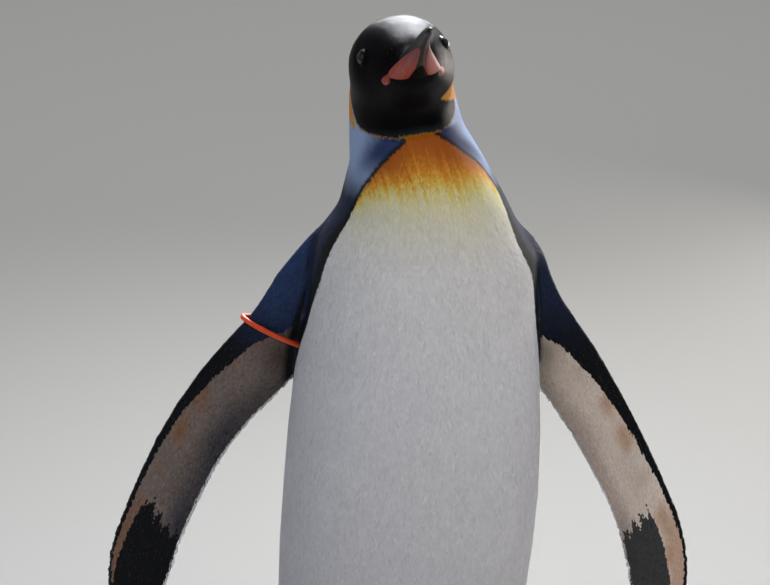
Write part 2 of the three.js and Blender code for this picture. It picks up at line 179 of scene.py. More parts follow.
@dataclass(frozen=True)
class BodyShape:
    """Trunk and neck as horizontal sections: height, centre x, half width, front and back."""

    sections: Profile = Profile((
        (84, 8, 84, 56, 86), (135, 9, 99, 81, 101), (205, 12, 116, 107, 105),
        (300, 17, 126, 121, 101), (400, 25, 128, 124, 97), (480, 29, 125, 121, 94),
        (550, 32, 119, 115, 91), (610, 36, 110, 107, 87), (660, 36, 102, 98, 81),
        (710, 37, 80, 88, 70), (745, 32, 66, 82, 60), (780, 21, 55, 79, 52),
        (825, 15, 49, 76, 42), (872, 15, 45, 62, 20),
    ))
    bottom: float = 84.0
    top: float = 872.0
    squareness: float = 2.25

    def angle(self, p: Array) -> Array:
        """Degrees round the body's axis: 0 in front, positive to the bird's left."""
        centre = self.sections.at(p[:, 2])[:, 0]
        return np.degrees(np.arctan2(p[:, 0] - centre, -p[:, 1]))

    def radius(self, p: Array) -> Array:
        """Distance from the body's axis."""
        centre = self.sections.at(p[:, 2])[:, 0]
        return np.hypot(p[:, 0] - centre, p[:, 1])

    def outside(self, p: Array) -> Array:
        """Rough distance outside the body's surface.

        Args:
            p: bird points.

        Returns:
            Millimetres for each, negative inside.
        """
        size = self.sections.at(p[:, 2])
        share = round_end(p[:, 2] - self.bottom, 55.0) * round_end(self.top - p[:, 2], 50.0)
        share = np.maximum(share, 1e-3)
        dx, dy = p[:, 0] - size[:, 0], p[:, 1]
        depth = np.where(dy < 0, size[:, 2], size[:, 3])
        n = self.squareness
        q = (np.abs(dx) / (size[:, 1] * share)) ** n + (np.abs(dy) / (depth * share)) ** n
        q = np.maximum(q, 1e-9) ** (1.0 / n)
        return (1.0 - 1.0 / q) * np.hypot(dx, dy)


@dataclass(frozen=True)
class HeadShape:
    """Head frame: f forward along the bill, l to the bird's left, u to the crown."""

    place: tuple[float, float, float] = (20.0, -60.0, 851.0)
    pitch: float = 33.0
    yaw: float = 7.5
    roll: float = 8.0

    def axes(self) -> Array:
        """Unit axes of the head.

        Returns:
            Rows forward, left and up.
        """
        pitch, yaw, roll = (math.radians(a) for a in (self.pitch, self.yaw, self.roll))
        ahead = Vector((math.sin(yaw) * math.cos(pitch), -math.cos(yaw) * math.cos(pitch),
                        math.sin(pitch)))
        left = Matrix.Rotation(roll, 3, ahead) @ Vector((math.cos(yaw), math.sin(yaw), 0))
        return np.array([ahead, left, ahead.cross(left)])

    def local(self, p: Array) -> Array:
        """Bird points as f, l, u."""
        return (p - np.array(self.place)) @ self.axes().T

    def world(self, flu: Array) -> Array:
        """Points given as f, l, u as bird points."""
        return np.asarray(flu, float) @ self.axes() + np.array(self.place)


@dataclass(frozen=True)
class FlipperShape:
    """One flipper: its centre line seen from the front, setback and twist."""

    side: Side
    line: tuple[tuple[float, float], ...]
    twist: float
    setback: tuple[float, ...] = (20, 24, 26, 27, 26, 23, 20)
    half_chord: Profile = Profile((
        (0, 34), (0.17, 38), (0.34, 39), (0.48, 36), (0.64, 34.5), (0.85, 33.5), (1, 26),
    ))
    samples: int = 240

    def curve(self) -> tuple[Array, Array, float]:
        """Centre line at equal lengths.

        Returns:
            Places, unit directions and the whole length.
        """
        p = np.array([(x, y, z) for (x, z), y in zip(self.line, self.setback)], float)
        p = np.vstack([2 * p[0] - p[1], p, 2 * p[-1] - p[-2]])
        found = []
        for a, b, c, d in zip(p, p[1:], p[2:], p[3:]):
            k0, k1, k2 = (np.linalg.norm(v - u) ** 0.5 for u, v in ((a, b), (b, c), (c, d)))
            m0 = ((b - a) / k0 - (c - a) / (k0 + k1) + (c - b) / k1) * k1
            m1 = ((c - b) / k1 - (d - b) / (k1 + k2) + (d - c) / k2) * k1
            s = np.linspace(0, 1, 40, endpoint=False)[:, None]
            found.append((2 * s**3 - 3 * s**2 + 1) * b + (s**3 - 2 * s**2 + s) * m0
                         + (3 * s**2 - 2 * s**3) * c + (s**3 - s**2) * m1)
        fine = np.vstack([*found, p[-2:-1]])
        run = np.concatenate([[0], np.cumsum(np.linalg.norm(np.diff(fine, axis=0), axis=1))])
        even = np.linspace(0, run[-1], self.samples + 1)
        places = np.stack([np.interp(even, run, fine[:, k]) for k in range(3)], 1)
        return places, unit(np.gradient(places, axis=0)), float(run[-1])

    def axes(self, along: Array) -> tuple[Array, Array]:
        """Directions to the leading edge and out of the underside.

        Args:
            along: unit directions of the centre line.

        Returns:
            The two unit directions for each row.
        """
        sign = self.side.value
        lead = unit(np.cross(along, (0.0, 1.0, 0.0)) * sign)
        turn = sign * math.radians(self.twist)
        lead = lead * math.cos(turn) + np.cross(along, lead) * math.sin(turn)
        under = unit(np.cross(lead, along)) * -sign
        return lead, under

    def half(self, t: Array) -> Array:
        """Half chord with its rounded ends."""
        t = np.clip(t, 0.0, 1.0)
        return self.half_chord.at(t)[:, 0] * round_end(t, 0.05) * round_end(1 - t, 0.16)

    def coordinates(self, p: Array) -> Array:
        """Bird points as share of length, chord offset, offset to the underside.

        Args:
            p: bird points.

        Returns:
            Rows of t, c (mm, + to the leading edge) and w (mm, + to the underside).
        """
        places, along, length = self.curve()
        tree = KDTree(len(places))
        for i, place in enumerate(places):
            tree.insert(place, i)
        tree.balance()
        index = np.array([tree.find(q)[1] for q in p.tolist()], int)
        offset = p - places[index]
        lead, under = self.axes(along)
        run = (offset * along[index]).sum(1) / length
        return np.stack([index / self.samples + run, (offset * lead[index]).sum(1),
                         (offset * under[index]).sum(1)], 1)


RIGHT_FLIPPER = FlipperShape(
    Side.RIGHT, ((-25, 668), (-77, 605), (-117, 546), (-169, 484), (-208, 421), (-253, 309),
                 (-266, 232)), 4.0)
LEFT_FLIPPER = FlipperShape(
    Side.LEFT, ((93, 682), (127, 618), (147, 578), (181, 527), (235, 434), (275, 338),
                (287, 226)), 20.0)


@dataclass(frozen=True)
class LimbShape:
    """Places of the tail, legs and feet."""

    tail_root: tuple[float, float, float] = (6.0, 62.0, 180.0)
    tail_tip: tuple[float, float, float] = (0.0, 152.0, 12.0)
    leg_spacing: float = 51.0
    leg_middle: float = 9.0
    splay: float = 11.0
    foot_back: float = 12.0

    def tail_run(self) -> Array:
        """From the tail's root to its tip."""
        return np.array(self.tail_tip) - np.array(self.tail_root)

    def tail_share(self, p: Array) -> Array:
        """Share of the tail's length at each point, 0 at its root."""
        run = self.tail_run()
        return (p - np.array(self.tail_root)) @ unit(run) / np.linalg.norm(run)


class Anatomy:
    """Says which part of the bird a point belongs to, and how the coat lies there."""

    NECK_MIDDLE = (17.0, -22.0)
    BARE_TOP, LEG_TOP = 47.0, 100.0  # heights, in millimetres
    HOOD_EDGE = Profile(((-180, 828), (-140, 832), (-106, 840), (-92, 825), (-80, 814), (-70, 806),
                         (-60, 798.5), (-48, 795), (-35, 793.5), (-20, 793), (-3, 793.5), (6, 795),
                         (25, 796.5), (38, 797), (51, 799), (63, 802), (74, 806), (85, 812),
                         (95, 821), (108, 840), (140, 832), (180, 828)))

    def __init__(self) -> None:
        """Sets up the shapes."""
        self.body = BodyShape()
        self.head = HeadShape()
        self.limbs = LimbShape()
        self.flippers = {Side.RIGHT: RIGHT_FLIPPER, Side.LEFT: LEFT_FLIPPER}

    def survey(self, p: Array) -> dict[str, Array]:
        """Everything that the coat and the colours need to know of each point.

        Args:
            p: bird points.

        Returns:
            Named arrays, one value or row for each point.
        """
        out = self.body.outside(p)
        part = np.full(len(p), Part.BODY.value)
        flu = self.head.local(p)
        hood = p[:, 2] > self.hood_edge(p)
        part[hood | ((flu[:, 0] > -30) & (p[:, 2] > 800))] = Part.HEAD.value
        facts = {"out": out, "flu": flu, "angle": self.body.angle(p)}
        for side, name in FLIPPER_PARTS.items():
            tcw = np.full((len(p), 3), -9.0)
            near = (out > 1.0) & (p[:, 2] < 715) & (p[:, 2] > 190) & (
                side.value * (p[:, 0] - 20) > 30)
            if near.any():
                tcw[near] = self.flippers[side].coordinates(p[near])
            facts[side.word] = tcw
            on = near & (np.abs(tcw[:, 1]) < 46) & (np.abs(tcw[:, 2]) < 24) & (out > 3.0)
            part[on] = name.value
        tail = self.limbs.tail_share(p)
        on_tail = (tail > 0.02) & (out > 2.0) & (p[:, 1] > 70) & (p[:, 2] < 172)
        part[on_tail] = Part.TAIL.value
        low = (p[:, 2] < self.LEG_TOP) & (out > 2.0) & ~on_tail & (np.abs(p[:, 1]) < 66)
        part[low] = Part.LEG.value
        part[(p[:, 2] < self.BARE_TOP) & on_tail] = Part.TAIL.value
        part[(p[:, 2] < self.BARE_TOP) & ~on_tail] = Part.BARE.value
        facts.update(part=part, tail=tail)
        return facts

    def neck_turn(self, p: Array) -> Array:
        """Degrees round the neck's middle: 0 in front, positive to the bird's left."""
        x, y = self.NECK_MIDDLE
        return np.degrees(np.arctan2(p[:, 0] - x, y - p[:, 1]))

    def hood_edge(self, p: Array) -> Array:
        """Height of the black hood's lower edge at each point's turn round the neck."""
        return self.HOOD_EDGE.at(self.neck_turn(p))[:, 0]

    def depth(self, p: Array, facts: dict[str, Array]) -> Array:
        """Depth of the coat over the skin.

        Args:
            p: bird points.
            facts: what survey() found.

        Returns:
            Depth in millimetres for each point.
        """
        z = p[:, 2]
        deep = np.interp(z, (84, 120, 690, 740, 800, 830), (2.4, 3.0, 3.0, 2.4, 1.8, 1.4))
        deep = deep * (1.0 - 0.3 * fall(np.abs(facts["angle"]), 85, 115) * ease(z, 120, 190))
        rules = [(Part.HEAD, 1.4 - 0.6 * ease(facts["flu"][:, 0], 5, 40)), (Part.LEG, 2.0),
                 (Part.TAIL, 3.0 - 1.9 * ease(facts["tail"], 0.1, 0.7)), (Part.BARE, 0.0)]
        rules += [(name, 2.8 - 1.9 * ease(facts[side.word][:, 0], -0.04, 0.18))
                  for side, name in FLIPPER_PARTS.items()]
        for name, value in rules:
            deep = np.where(facts["part"] == name.value, value, deep)
        return deep

    def lie(self, p: Array, n: Array, facts: dict[str, Array]) -> Array:
        """Direction in which feathers point.

        Args:
            p: bird points.
            n: unit normals there.
            facts: what survey() found.

        Returns:
            Unit directions along the surface.
        """
        low = fall(p[:, 2], 84, 210)
        way = np.stack([np.zeros(len(p)), 2.6 * low, np.full(len(p), -1.0)], 1)
        back = -self.head.axes()[0]
        share = ease(p[:, 2], 798, 846) * ease(facts["flu"][:, 0], -86, -60)
        share = np.where(facts["part"] == Part.HEAD.value, np.maximum(share, 0.35), share)
        way = mix(way, np.broadcast_to(back, way.shape), share)
        for side, name in FLIPPER_PARTS.items():
            on = facts["part"] == name.value
            if not on.any():
                continue
            shape = self.flippers[side]
            _, along, _ = shape.curve()
            t = np.clip(facts[side.word][on, 0], 0, 1)
            line = along[(t * shape.samples).astype(int)]
            lead, _ = shape.axes(line)
            trail = 0.12 - 0.06 * fall(facts[side.word][on, 1], -30, -12)
            way[on] = line - lead * trail[:, None]
        on = facts["part"] == Part.TAIL.value
        way[on] = unit(self.limbs.tail_run())
        return level(way, n)


@dataclass(frozen=True)
class PlumageFinish:
    """Colours of the feathers, on a screen's 0 to 255."""

    hood: Rgb = (6, 6, 8)
    black: Rgb = (13, 15, 21)
    shoulder: Rgb = (26, 38, 66)
    silver: Rgb = (164, 188, 228)
    throat_blue: Rgb = (10, 34, 92)
    slate: Rgb = (60, 68, 80)
    # Navy of each flipper's base, right then left: the right one is lighter as painted sheen.
    arm: tuple[Rgb, Rgb] = ((50, 70, 112), (32, 44, 72))
    # Painted sheen along the hood's lower edge.
    slate_hood: Rgb = (36, 45, 52)
    gold: Rgb = (214, 158, 34)
    gold_line: Rgb = (160, 116, 32)
    ear: Rgb = (232, 128, 14)
    white: Rgb = (246, 246, 248)
    # Underside colours as pairs, right flipper then left: shaded and lit copies of one colouring,
    # the left one lighter as painted light.
    under: tuple[Rgb, Rgb] = ((132, 119, 113), (250, 234, 220))
    under_dusk_shaded_and_lit: tuple[Rgb, Rgb] = ((58, 57, 66), (180, 160, 148))
    under_rust_shaded_and_lit: tuple[Rgb, Rgb] = ((140, 96, 64), (206, 152, 112))
    under_haze: Rgb = (110, 108, 120)
    # Painted shadow in the armpit.
    armpit_shadow: Rgb = (66, 44, 40)
    # Tip colour, right flipper then left: the left one lighter as painted light.
    apex_ink_shaded_and_lit: tuple[Rgb, Rgb] = ((13, 15, 21), (72, 72, 73))
    tail: Rgb = (38, 42, 50)
    leg: Rgb = (206, 204, 204)
    foot: Rgb = (34, 34, 38)


class Plumage:
    """Markings of the whole bird, the same for its skin and its coat."""

    BORDER_RIGHT = Profile(((84, 98), (140, 100), (200, 100), (300, 98), (440, 95), (530, 91),
                            (564, 86), (586, 79), (615, 73), (640, 66), (680, 61), (700, 57),
                            (716, 52), (741, 40), (767, 19), (787, 1), (800, -14)))
    BORDER_LEFT = Profile(((84, 98), (140, 100), (200, 100), (300, 98), (440, 95), (530, 90),
                           (564, 84), (587, 78), (616, 77), (639, 74), (658, 69), (682, 67),
                           (704, 69), (728, 72), (752, 62), (774, 42), (792, 24), (800, 14)))
    STRIPE = Profile(((84, 8), (200, 9), (400, 14), (500, 20), (560, 24), (640, 19), (690, 14),
                      (712, 6.5), (740, 3.8), (800, 3.4)))
    # Throat to belly colours by height; the white darkens towards the bottom as painted shade.
    THROAT = Profile(((84, 196, 193, 197), (250, 208, 206, 211), (450, 226, 225, 229),
                      (620, 238, 237, 239), (676, 241, 239, 236), (700, 241, 238, 224),
                      (720, 241, 236, 206), (732, 242, 234, 184), (744, 240, 218, 128),
                      (753, 238, 188, 74), (760, 234, 160, 50), (770, 214, 130, 30),
                      (782, 190, 104, 16), (800, 178, 90, 8)))
    DARK_EDGE = ((90, 46, 22, 15, 9.5, 6.5, 5, 5), (90, 50, 26, 15, 10, 6.5, 5, 5))
    EARS = ((Side.RIGHT, (-72.0, 12.0), (-53.0, -28.0)), (Side.LEFT, (-50.0, 0.0), (-6.0, -28.0)))

    def __init__(self, anatomy: Anatomy, finish: PlumageFinish) -> None:
        """Keeps the shapes and the colours.

        Args:
            anatomy: where things are.
            finish: colours.
        """
        self.anatomy = anatomy
        self.finish = finish

    def border(self, p: Array, angle: Array) -> Array:
        """Distance outside the border of the white front, negative inside it.

        Args:
            p: bird points.
            angle: their angles round the body.

        Returns:
            Millimetres across the border.
        """
        z = p[:, 2]
        edge, above = (np.where(angle < 0, self.BORDER_RIGHT.at(height)[:, 0],
                                self.BORDER_LEFT.at(height)[:, 0]) for height in (z, z + 4.0))
        radius = self.anatomy.body.radius(p)
        across = np.radians(np.abs(angle) - edge) * radius
        slope = np.radians(above - edge) / 4.0 * radius
        away = across / np.sqrt(1.0 + slope**2)
        return np.where(z > 790, np.maximum(away, z - 797), away)

    def front(self, p: Array, border: Array, drift: Array) -> Array:
        """Colours from the orange throat down to the white belly.

        Args:
            p: bird points.
            border: distances from the border.
            drift: a random number for each point, about -1 to 1.

        Returns:
            Linear colours.
        """
        rise = np.where(p[:, 2] > 690, 24.0 * np.exp(np.minimum(border, 0) / 13.0), 0.0)
        height = p[:, 2] + rise * ease(p[:, 2], 690, 730) + 6.0 * drift
        # Painted shade: the white front is up to 14 % darker on the bird's right side, fading out
        # between 560 and 700 mm up.
        shade = 1.0 - 0.14 * fall(self.anatomy.body.angle(p), -75, -15) * fall(p[:, 2], 560, 700)
        return linear(self.THROAT.at(height)) * shade[:, None]

    def trunk(self, p: Array, facts: dict[str, Array], drift: Array) -> Array:
        """Colours of the trunk and neck.

        Args:
            p: bird points.
            facts: what survey() found.
            drift: a random number for each point.

        Returns:
            Linear colours.
        """
        f = self.finish
        angle, z = facts["angle"], p[:, 2]
        between_legs = fall(z, 104, 134) * fall(p[:, 1], 22, 44)
        border = self.border(p, angle) + 0.5 * drift - 90.0 * between_legs
        beyond = border - self.STRIPE.at(z)[:, 0]
        silver = linear(f.silver) * (1.0 - 0.55 * ease(np.abs(angle), 85, 125))[:, None]
        blue = ease(z, 738, 778) * fall(beyond, 7, 24) * 0.95
        colour = mix(linear(f.slate), mix(silver, linear(f.throat_blue), blue), ease(z, 560, 745))
        arm = fall(np.abs(angle), 100, 150) * fall(z, 722, 756) * ease(z, 520, 600)
        colour = mix(colour, linear(f.shoulder), arm)
        soft = 1.4 + 4.0 * fall(z, 560, 700)
        colour = mix(linear(f.black), colour, ease(beyond, -1.0, soft))
        return choose(border < 0, self.front(p, border, drift), colour)

    def hood(self, p: Array, facts: dict[str, Array], drift: Array, base: Array) -> Array:
        """Puts the black hood, ear patches and gold line over the neck's colours.

        Args:
            p: bird points.
            facts: what survey() found.
            drift: a random number for each point.
            base: colours so far.

        Returns:
            Linear colours.
        """
        f = self.finish
        flu = facts["flu"]
        above = p[:, 2] - self.anatomy.hood_edge(p) + 0.5 * drift
        turn = self.anatomy.neck_turn(p)
        # Painted sheen: a slate band just above the hood's lower edge, at the front of the neck and
        # stronger on the bird's left side.
        hood_sheen_share = fall(above, 0, 9) * fall(np.abs(turn), 50, 80)
        hood_sheen_share = hood_sheen_share * (0.5 + 0.5 * ease(turn, -30, 30))
        colour = choose(above > 0, mix(linear(f.hood), linear(f.slate_hood), hood_sheen_share), base)
        line = (np.abs(above + 0.6) < 0.7) & (np.abs(turn) < 112)
        colour = choose(line, linear(f.gold_line), colour)
        for side, a, b in self.EARS:
            a, b = np.array(a), np.array(b)
            offset = flu[:, [0, 2]] - a
            s = np.clip(offset @ (b - a) / ((b - a) @ (b - a)), 0, 1)
            away = np.linalg.norm(offset - s[:, None] * (b - a), axis=1)
            size = 15.5 * (1 - s) ** 0.75 + 2.2
            patch = (away + 0.4 * drift < size) & (side.value * flu[:, 1] > 18)
            colour = choose(patch, mix(linear(f.ear), linear(f.gold), s), colour)
        return colour

    def flipper(self, facts: dict[str, Array], n: Array, side: Side, drift: Array) -> Array:
        """Colours of one flipper.

        Args:
            facts: what survey() found.
            n: unit normals.
            side: which flipper.
            drift: a random number for each point.

        Returns:
            Linear colours.
        """
        f = self.finish
        t, c, _ = facts[side.word].T
        shape = self.anatomy.flippers[side]
        half = np.maximum(shape.half(np.clip(t, 0.02, 0.97)), 8.0)
        share = np.clip(c / half, -1, 1)
        from_lead = half - c + 0.8 * drift
        right = side is Side.RIGHT
        # Each pair holds the right flipper's colour and then the left's: the undersides are shaded
        # and lit copies, painted light, and the right navy base is lighter as painted sheen.
        pick = 0 if right else 1
        band = np.interp(t, (0.16, 0.22, 0.3, 0.4, 0.5, 0.65, 0.8, 1.0), self.DARK_EDGE[pick])
        sway = 0.5 * np.sin(t * 31.0 + 4.0 * share) + 0.5 * np.sin(t * 13.0 - 5.0 * share)
        dusk = fall(share, -0.75, 0.25 if right else -0.1) * ease(t, 0.26, 0.5)
        dusk = (0.9 if right else 0.6) * dusk + 0.12 * drift + 0.10 * sway
        under = mix(linear(f.under[pick]), linear(f.under_dusk_shaded_and_lit[pick]), np.clip(dusk, 0, 1))
        wave = np.sin(t * 47.0 + 3.0 * share) * np.sin(t * 23.0 + 1.3)
        rust = np.exp(-((share - 0.52) / 0.26) ** 2) * ease(wave, -0.5, 0.9) * ease(t, 0.2, 0.3)
        rust = np.maximum(rust, 0.8 * ease(share, 0.2, 0.6) * ease(t, 0.66, 0.76))
        under = mix(under, linear(f.under_rust_shaded_and_lit[pick]), np.clip(0.75 * rust, 0, 1))
        # Painted shadow across the underside near the armpit, on the trailing part.
        armpit_shadow_share = 0.75 * fall(share, -0.4, 0.5) * np.exp(-((t - 0.285) / 0.045) ** 2)
        under = mix(under, linear(f.armpit_shadow), armpit_shadow_share)
        under = mix(under, linear(f.under_haze), 0.7 * np.exp(-((t - 0.20) / 0.035) ** 2))
        ink = linear(f.black)
        apex = (0.5, 0.70, 0.95) if right else (0.2, 0.705, 0.72)
        start = apex[1] + np.where(share > apex[0], 0.20 * (share - apex[0]) / 0.3,
                                   0.055 * (apex[0] - share)) + 0.012 * drift
        start = start + 0.012 * np.sin(share * 19.0)
        tip = (t > start) & ((share < apex[2] - 0.12) | (t > 0.93))
        margin = (from_lead < band) | (t < 0.17 + 0.03 * share)
        navy = mix(ink, linear(f.arm[pick]), 0.9 * fall(t, 0.16, 0.36))
        under = choose(margin, navy, choose(tip, linear(f.apex_ink_shaded_and_lit[pick]), under))
        beside = facts["out"] - (3.0 + (6.0 * ease(t, 0.1, 0.25) if right else 0.0))
        under = mix(under, ink, fall(beside, 0, 6) * fall(t, 0.30, 0.42))
        top = mix(linear(f.shoulder), ink, 0.2 + 0.6 * ease(t, 0.1, 0.5))
        rim = (from_lead > 2 * half - 1.6) & (t > 0.2)
        return choose(rim, linear(f.white), choose(n[:, 1] < 0.05, under, top))

    def colours(self, p: Array, n: Array, facts: dict[str, Array], drift: Array) -> Array:
        """Colours of the whole bird.

        Args:
            p: bird points.
            n: unit normals.
            facts: what survey() found.
            drift: a random number for each point, about -1 to 1.

        Returns:
            Linear colours.
        """
        f, part = self.finish, facts["part"]
        colour = self.hood(p, facts, drift, self.trunk(p, facts, drift))
        for side, name in FLIPPER_PARTS.items():
            colour = choose(part == name.value, self.flipper(facts, n, side, drift), colour)
        pale = 0.6 * fall(n[:, 1], -0.6, -0.2) * fall(facts["tail"], 0.1, 0.3)
        colour = choose(part == Part.TAIL.value, mix(linear(f.tail), linear(f.white), pale), colour)
        behind = ease(p[:, 1], 10, 40) * 0.8
        colour = choose(part == Part.LEG.value, mix(linear(f.leg), linear(f.slate), behind), colour)
        return choose(part == Part.BARE.value, linear(f.foot), colour)


# ---------------------------------------------------------------- meshes


def mesh_of(bm: bmesh.types.BMesh, name: str) -> Mesh:
    """Turns a bmesh into a mesh with its faces outwards.

    Args:
        bm: the bmesh, freed here.
        name: name of the mesh.

    Returns:
        The mesh.
    """
    bmesh.ops.recalc_face_normals(bm, faces=bm.faces)
    mesh = bpy.data.meshes.new(name)
    bm.to_mesh(mesh)
    bm.free()
    return mesh


def paint(mesh: Mesh, name: str, colours: Array) -> None:
    """Keeps a linear colour for each vertex.

    Args:
        mesh: the mesh.
        name: name of the attribute.
        colours: one row for each vertex.
    """
    layer = mesh.color_attributes.new(name, "FLOAT_COLOR", "POINT")
    rows = np.ones((len(colours), 4), np.float32)
    rows[:, :3] = np.clip(colours, 0, 1)
    layer.data.foreach_set("color", rows.ravel())


def measure(mesh: Mesh, name: str, rows: Array) -> None:
    """Keeps a vector for each vertex, for patterns that follow the surface.

    Args:
        mesh: the mesh.
        name: name of the attribute.
        rows: one vector for each vertex.
    """
    layer = mesh.attributes.new(name, "FLOAT_VECTOR", "POINT")
    layer.data.foreach_set("vector", rows.astype(np.float32).ravel())


def move(mesh: Mesh, points: Array) -> Mesh:
    """Puts a mesh's vertices at bird points.

    Args:
        mesh: changed here.
        points: bird points, one row for each vertex.

    Returns:
        The same mesh.
    """
    mesh.vertices.foreach_set("co", to_frame(points).astype(np.float32).ravel())
    mesh.update()
    return mesh


def link(name: str, data: bpy.types.ID) -> Piece:
    """New object in the scene.

    Args:
        name: its name.
        data: its mesh, light or camera.

    Returns:
        The object.
    """
    made = bpy.data.objects.new(name, data)
    bpy.context.scene.collection.objects.link(made)
    return made


def add_to(whole: bmesh.types.BMesh, bm: bmesh.types.BMesh) -> None:
    """Adds one bmesh to another and frees it.

    Args:
        whole: what it goes into.
        bm: the one that is added and freed.
    """
    part = bpy.data.meshes.new("part")
    bm.to_mesh(part)
    bm.free()
    whole.from_mesh(part)
    bpy.data.meshes.remove(part)


def finished(holder: Piece) -> Mesh:
    """Mesh of an object with its modifiers applied."""
    ready = holder.evaluated_get(bpy.context.evaluated_depsgraph_get())
    return bpy.data.meshes.new_from_object(ready)


def places_of(mesh: Mesh) -> Array:
    """Vertex places of a mesh.

    Args:
        mesh: the mesh.

    Returns:
        One row for each vertex.
    """
    found = np.empty(len(mesh.vertices) * 3, np.float32)
    mesh.vertices.foreach_get("co", found)
    return found.reshape(-1, 3).astype(float)


def show(mesh: Mesh, finish: Material,
         replaces: Sequence[str] = ()) -> Piece:
    """Adds a finished piece to the bird.

    Args:
        mesh: its mesh, whose name it takes.
        finish: its material.
        replaces: CAD nodes that it stands for.

    Returns:
        The piece.
    """
    piece = link(mesh.name, mesh)
    mesh.materials.clear()
    mesh.materials.append(finish)
    mesh.polygons.foreach_set("use_smooth", np.ones(len(mesh.polygons), bool))
    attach(piece, "root")
    if replaces:
        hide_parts(*replaces)
    log.info("%s: %d faces", piece.name, len(mesh.polygons))
    return piece


def lofted(stations: int, around: int, at: Callable[[int, float], Vector],
           closed: bool = False) -> bmesh.types.BMesh:
    """Tube skinned over rings.

    Args:
        stations: number of rings.
        around: points in each ring.
        at: place of a ring's point, from the ring's number and an angle.
        closed: the last ring joins the first, and no ends are capped.

    Returns:
        The bmesh.
    """
    bm = bmesh.new()
    rings = []
    for i in range(stations):
        made = bmesh.ops.create_circle(bm, segments=around, radius=1.0)["verts"]
        for k, vert in enumerate(made):
            vert.co = at(i, 2 * math.pi * k / around)
        rings.append([e for e in {e for v in made for e in v.link_edges}])
    pairs = list(zip(rings, rings[1:])) + ([(rings[-1], rings[0])] if closed else [])
    for first, second in pairs:
        bmesh.ops.bridge_loops(bm, edges=first + second)
    if not closed:
        for ring in (rings[0], rings[-1]):
            bmesh.ops.contextual_create(bm, geom=ring)
    return bm


def snap(tree: BVHTree, points: Array) -> tuple[Array, Array]:
    """Nearest places of a surface.

    Args:
        tree: the surface.
        points: places near it.

    Returns:
        Places on it and their face numbers.
    """
    hits = [tree.find_nearest(q) for q in points.tolist()]
    return np.array([h[0][:] for h in hits]), np.array([h[2] for h in hits], int)


